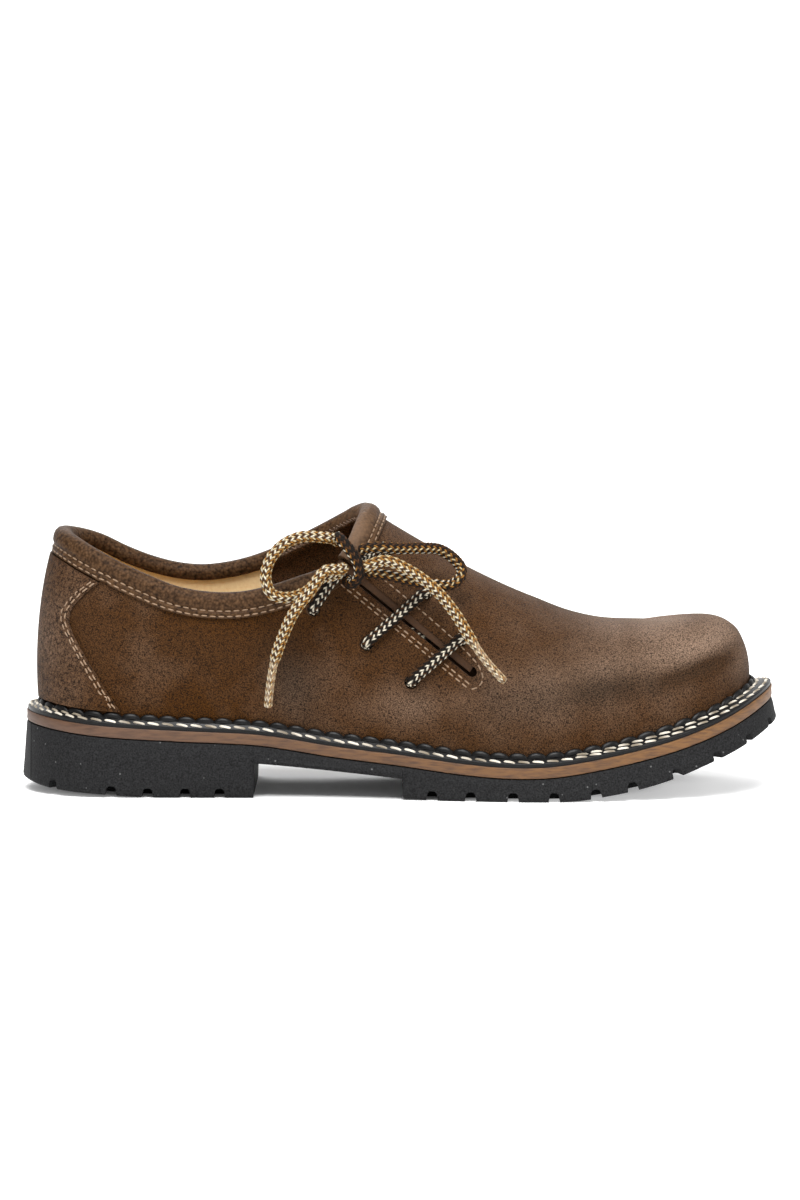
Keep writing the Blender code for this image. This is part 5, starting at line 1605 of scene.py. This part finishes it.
# Braided polyester: each yarn shows as a short slanting pillow, matt, with a bloom of fibres that is drawn
# coarser than real.
cord, shader = new_material("braided_polyester", Roughness=0.75, Specular_IOR_Level=0.15)
yarn = add_node(cord, "Attribute", {}, attribute_name="yarn")
place = add_node(cord, "TexCoord", {}).outputs["Object"]
fibre = add_node(cord, "TexNoise", {"Vector": place, "Scale": 1000 / 0.6, "Detail": 3.0})
fibre_light = add_node(
    cord, "MapRange", {"Value": fibre, "From Min": 0.3, "From Max": 0.7, "To Min": 0.75, "To Max": 1.15}
)
yarn_tone = add_node(
    cord, "VectorMath", {0: yarn.outputs["Color"], "Scale": fibre_light}, operation="SCALE"
)
fibre_bump = add_node(cord, "Bump", {"Height": fibre, "Strength": 0.3, "Distance": 0.1 * MM})
fill(cord, shader, {"Base Color": yarn_tone, "Normal": fibre_bump})


def braided(name, points, yarns, tip=False):
    """A braided cord along a line: a tube whose radius swells where a yarn lies over its neighbour.

    Two sets of helices part the tube into diamonds. Each yarn goes over two of the other set and under
    two, so columns of left and right slants stand side by side. A tip is drawn thin and sealed.
    """
    path, length = smooth_path(points, BRAID_STEP)
    side, up = carried_frames(path)
    outward = np.unwrap(np.arctan2(-up[:, 1], -side[:, 1]))
    window = np.full(2 * BRAID_EASE + 1, 1 / (2 * BRAID_EASE + 1))
    outward = np.convolve(np.pad(outward, BRAID_EASE, mode="edge"), window, mode="valid")
    turn = np.linspace(0.0, 2 * math.pi, BRAID_SIDES, endpoint=False)
    across = (turn - outward[:, None]) / (2 * math.pi) * BRAID_CELLS + 0.5
    ahead = length[:, None] / BRAID_PITCH
    left, right = across + ahead, across - ahead
    crossing = np.floor(left).astype(int) + np.floor(right).astype(int)
    step = crossing % 4
    over_left = step < 2
    yarn = np.where(over_left, np.floor(left), np.floor(right)).astype(int)
    width = np.where(over_left, left, right) - yarn - 0.5
    reach = np.where(over_left, right - np.floor(right) + step, left - np.floor(left) + step - 2)
    pillow = np.cos(math.pi * width) ** 0.9 * np.cos(math.pi * (reach / 2 - 0.5)) ** 0.35
    shades = np.array([[linear(colour)[:3] for colour in pair] for pair in yarns])
    colour = shades[(crossing // 2) % BRAID_CELLS, yarn % 2]
    colour = colour * (YARN_SHADE + (1 - YARN_SHADE) * pillow[..., None])
    full = np.full(len(path), LACE_DIAMETER / 2)
    relief = np.full(len(path), BRAID_RELIEF)
    if tip:
        thin = np.clip((length - (length[-1] - TIP_LENGTH)) / TIP_TAPER, 0.0, 1.0)
        full = full + thin * (LACE_TIP_DIAMETER - LACE_DIAMETER) / 2
        relief = relief * (1 - (1 - TIP_RELIEF) * thin)
        sealed = np.array(linear(TIP_COLOUR))[:3]
        fray = 0.3 + 0.3 * np.sin(left * 1.1) * np.sin(right * 0.9 + 0.6)
        colour = colour + (fray * thin[:, None])[..., None] * (sealed - colour)
    ends = np.minimum(length, length[-1] - length) / END_ROUND
    full = full * np.sqrt(np.clip(1 - (1 - np.clip(ends, 0.02, 1.0)) ** 2, 0.0, 1.0))
    radius = np.maximum(full[:, None] - relief[:, None] * (0.75 - pillow), 0.02)
    ring = np.cos(turn)[:, None] * side[:, None] + np.sin(turn)[:, None] * up[:, None]
    tube = path[:, None] + radius[..., None] * ring
    made = new_piece(name, in_frame(tube), tube_faces(len(path), BRAID_SIDES), cord)
    attribute = made.data.attributes.new("yarn", "FLOAT_COLOR", "POINT")
    opaque = np.concatenate([colour, np.ones(colour.shape[:2] + (1,))], axis=-1)
    attribute.data.foreach_set("color", opaque.astype(np.float32).reshape(-1))
    return made, in_frame(path), length[-1] * MM


q1, q2, q3 = QUARTER_HOLES
v1, v2, v3 = VAMP_HOLES
# The bars take darker yarns, a painted shade.
bars, _, _ = braided("lace_bars", lace_route([v1, v2, q2, q3, v3, q1]), SHADED_BAR_YARNS)
finished(bars, "flecked_cord", "lacing")

BACK_LOOP = bow(
    (0.400, -0.410, 0.899),
    (0.371, -0.425, 0.901),
    (0.345, -0.440, 0.867),
    (0.329, -0.450, 0.805),
    (0.327, -0.455, 0.754),
    (0.334, -0.455, 0.710),
    (0.355, -0.450, 0.696),
    (0.377, -0.440, 0.713),
    (0.399, -0.412, 0.760),
)
FRONT_LOOP = bow(
    (0.475, -0.380, 0.862),
    (0.500, -0.350, 0.856),
    (0.527, -0.310, 0.855),
    (0.552, -0.280, 0.848),
    (0.569, -0.290, 0.821),
    (0.580, -0.310, 0.783),
    (0.578, -0.335, 0.755),
    (0.566, -0.355, 0.733),
    (0.545, -0.375, 0.736),
    (0.520, -0.390, 0.745),
    (0.483, -0.395, 0.769),
)
BACK_END = bow(
    (0.405, -0.470, 0.790),
    (0.384, -0.500, 0.720),
    (0.364, -0.505, 0.652),
    (0.349, -0.490, 0.567),
    (0.338, -0.470, 0.482),
    (0.332, -0.455, 0.396),
    (0.329, -0.445, 0.318),
)
FRONT_END = bow(
    (0.481, -0.450, 0.822),
    (0.513, -0.455, 0.788),
    (0.545, -0.460, 0.726),
    (0.571, -0.470, 0.645),
    (0.591, -0.490, 0.560),
    (0.610, -0.510, 0.489),
    (0.636, -0.530, 0.413),
)
# The knot's wrap: one turn of the cord over the strands, from behind the top to behind the foot.
WRAP = KNOT_PLACE + np.array(
    [
        (-5.2, 4.4, 7.6),
        (-5.0, 0.6, 9.0),
        (-2.8, -4.2, 7.4),
        (0.6, -6.4, 3.4),
        (3.0, -6.8, -1.0),
        (3.4, -5.6, -5.2),
        (1.6, -3.2, -8.2),
        (-0.6, 0.6, -9.0),
        (-1.4, 4.2, -7.4),
    ]
)
# The wrap takes darker yarns, a painted shade.
knot, _, _ = braided("lace_wrap", WRAP, SHADED_WRAP_YARNS)
finished(knot, "flecked_cord", "lace_knot")

loop_back = [off_knot(-0.8, 0.0, 0.6), BACK_LOOP, off_knot(-0.85, 0.0, -0.5)[::-1]]
loop_front = [off_knot(0.9, 0.0, 0.45), FRONT_LOOP, off_knot(0.97, 0.0, -0.2)[::-1]]
end_back = [off_knot(-0.55, 0.8, -0.3), BACK_END]
end_front = [off_knot(0.7, 0.7, 0.0), FRONT_END]
for node, route, far_end, yarns in (
    ("lace_loop_back", loop_back, "object", LIGHT_YARNS),
    ("lace_loop_front", loop_front, "object", BROWN_YARNS),
    ("lace_end_back", end_back, "bare", LIGHT_YARNS),
    ("lace_end_front", end_front, "bare", LIGHT_YARNS),
):
    name = node.replace("lace", "braid")
    strand, path, length = braided(name, np.vstack(route), yarns, tip=far_end == "bare")
    finished(strand, "flecked_cord", node)
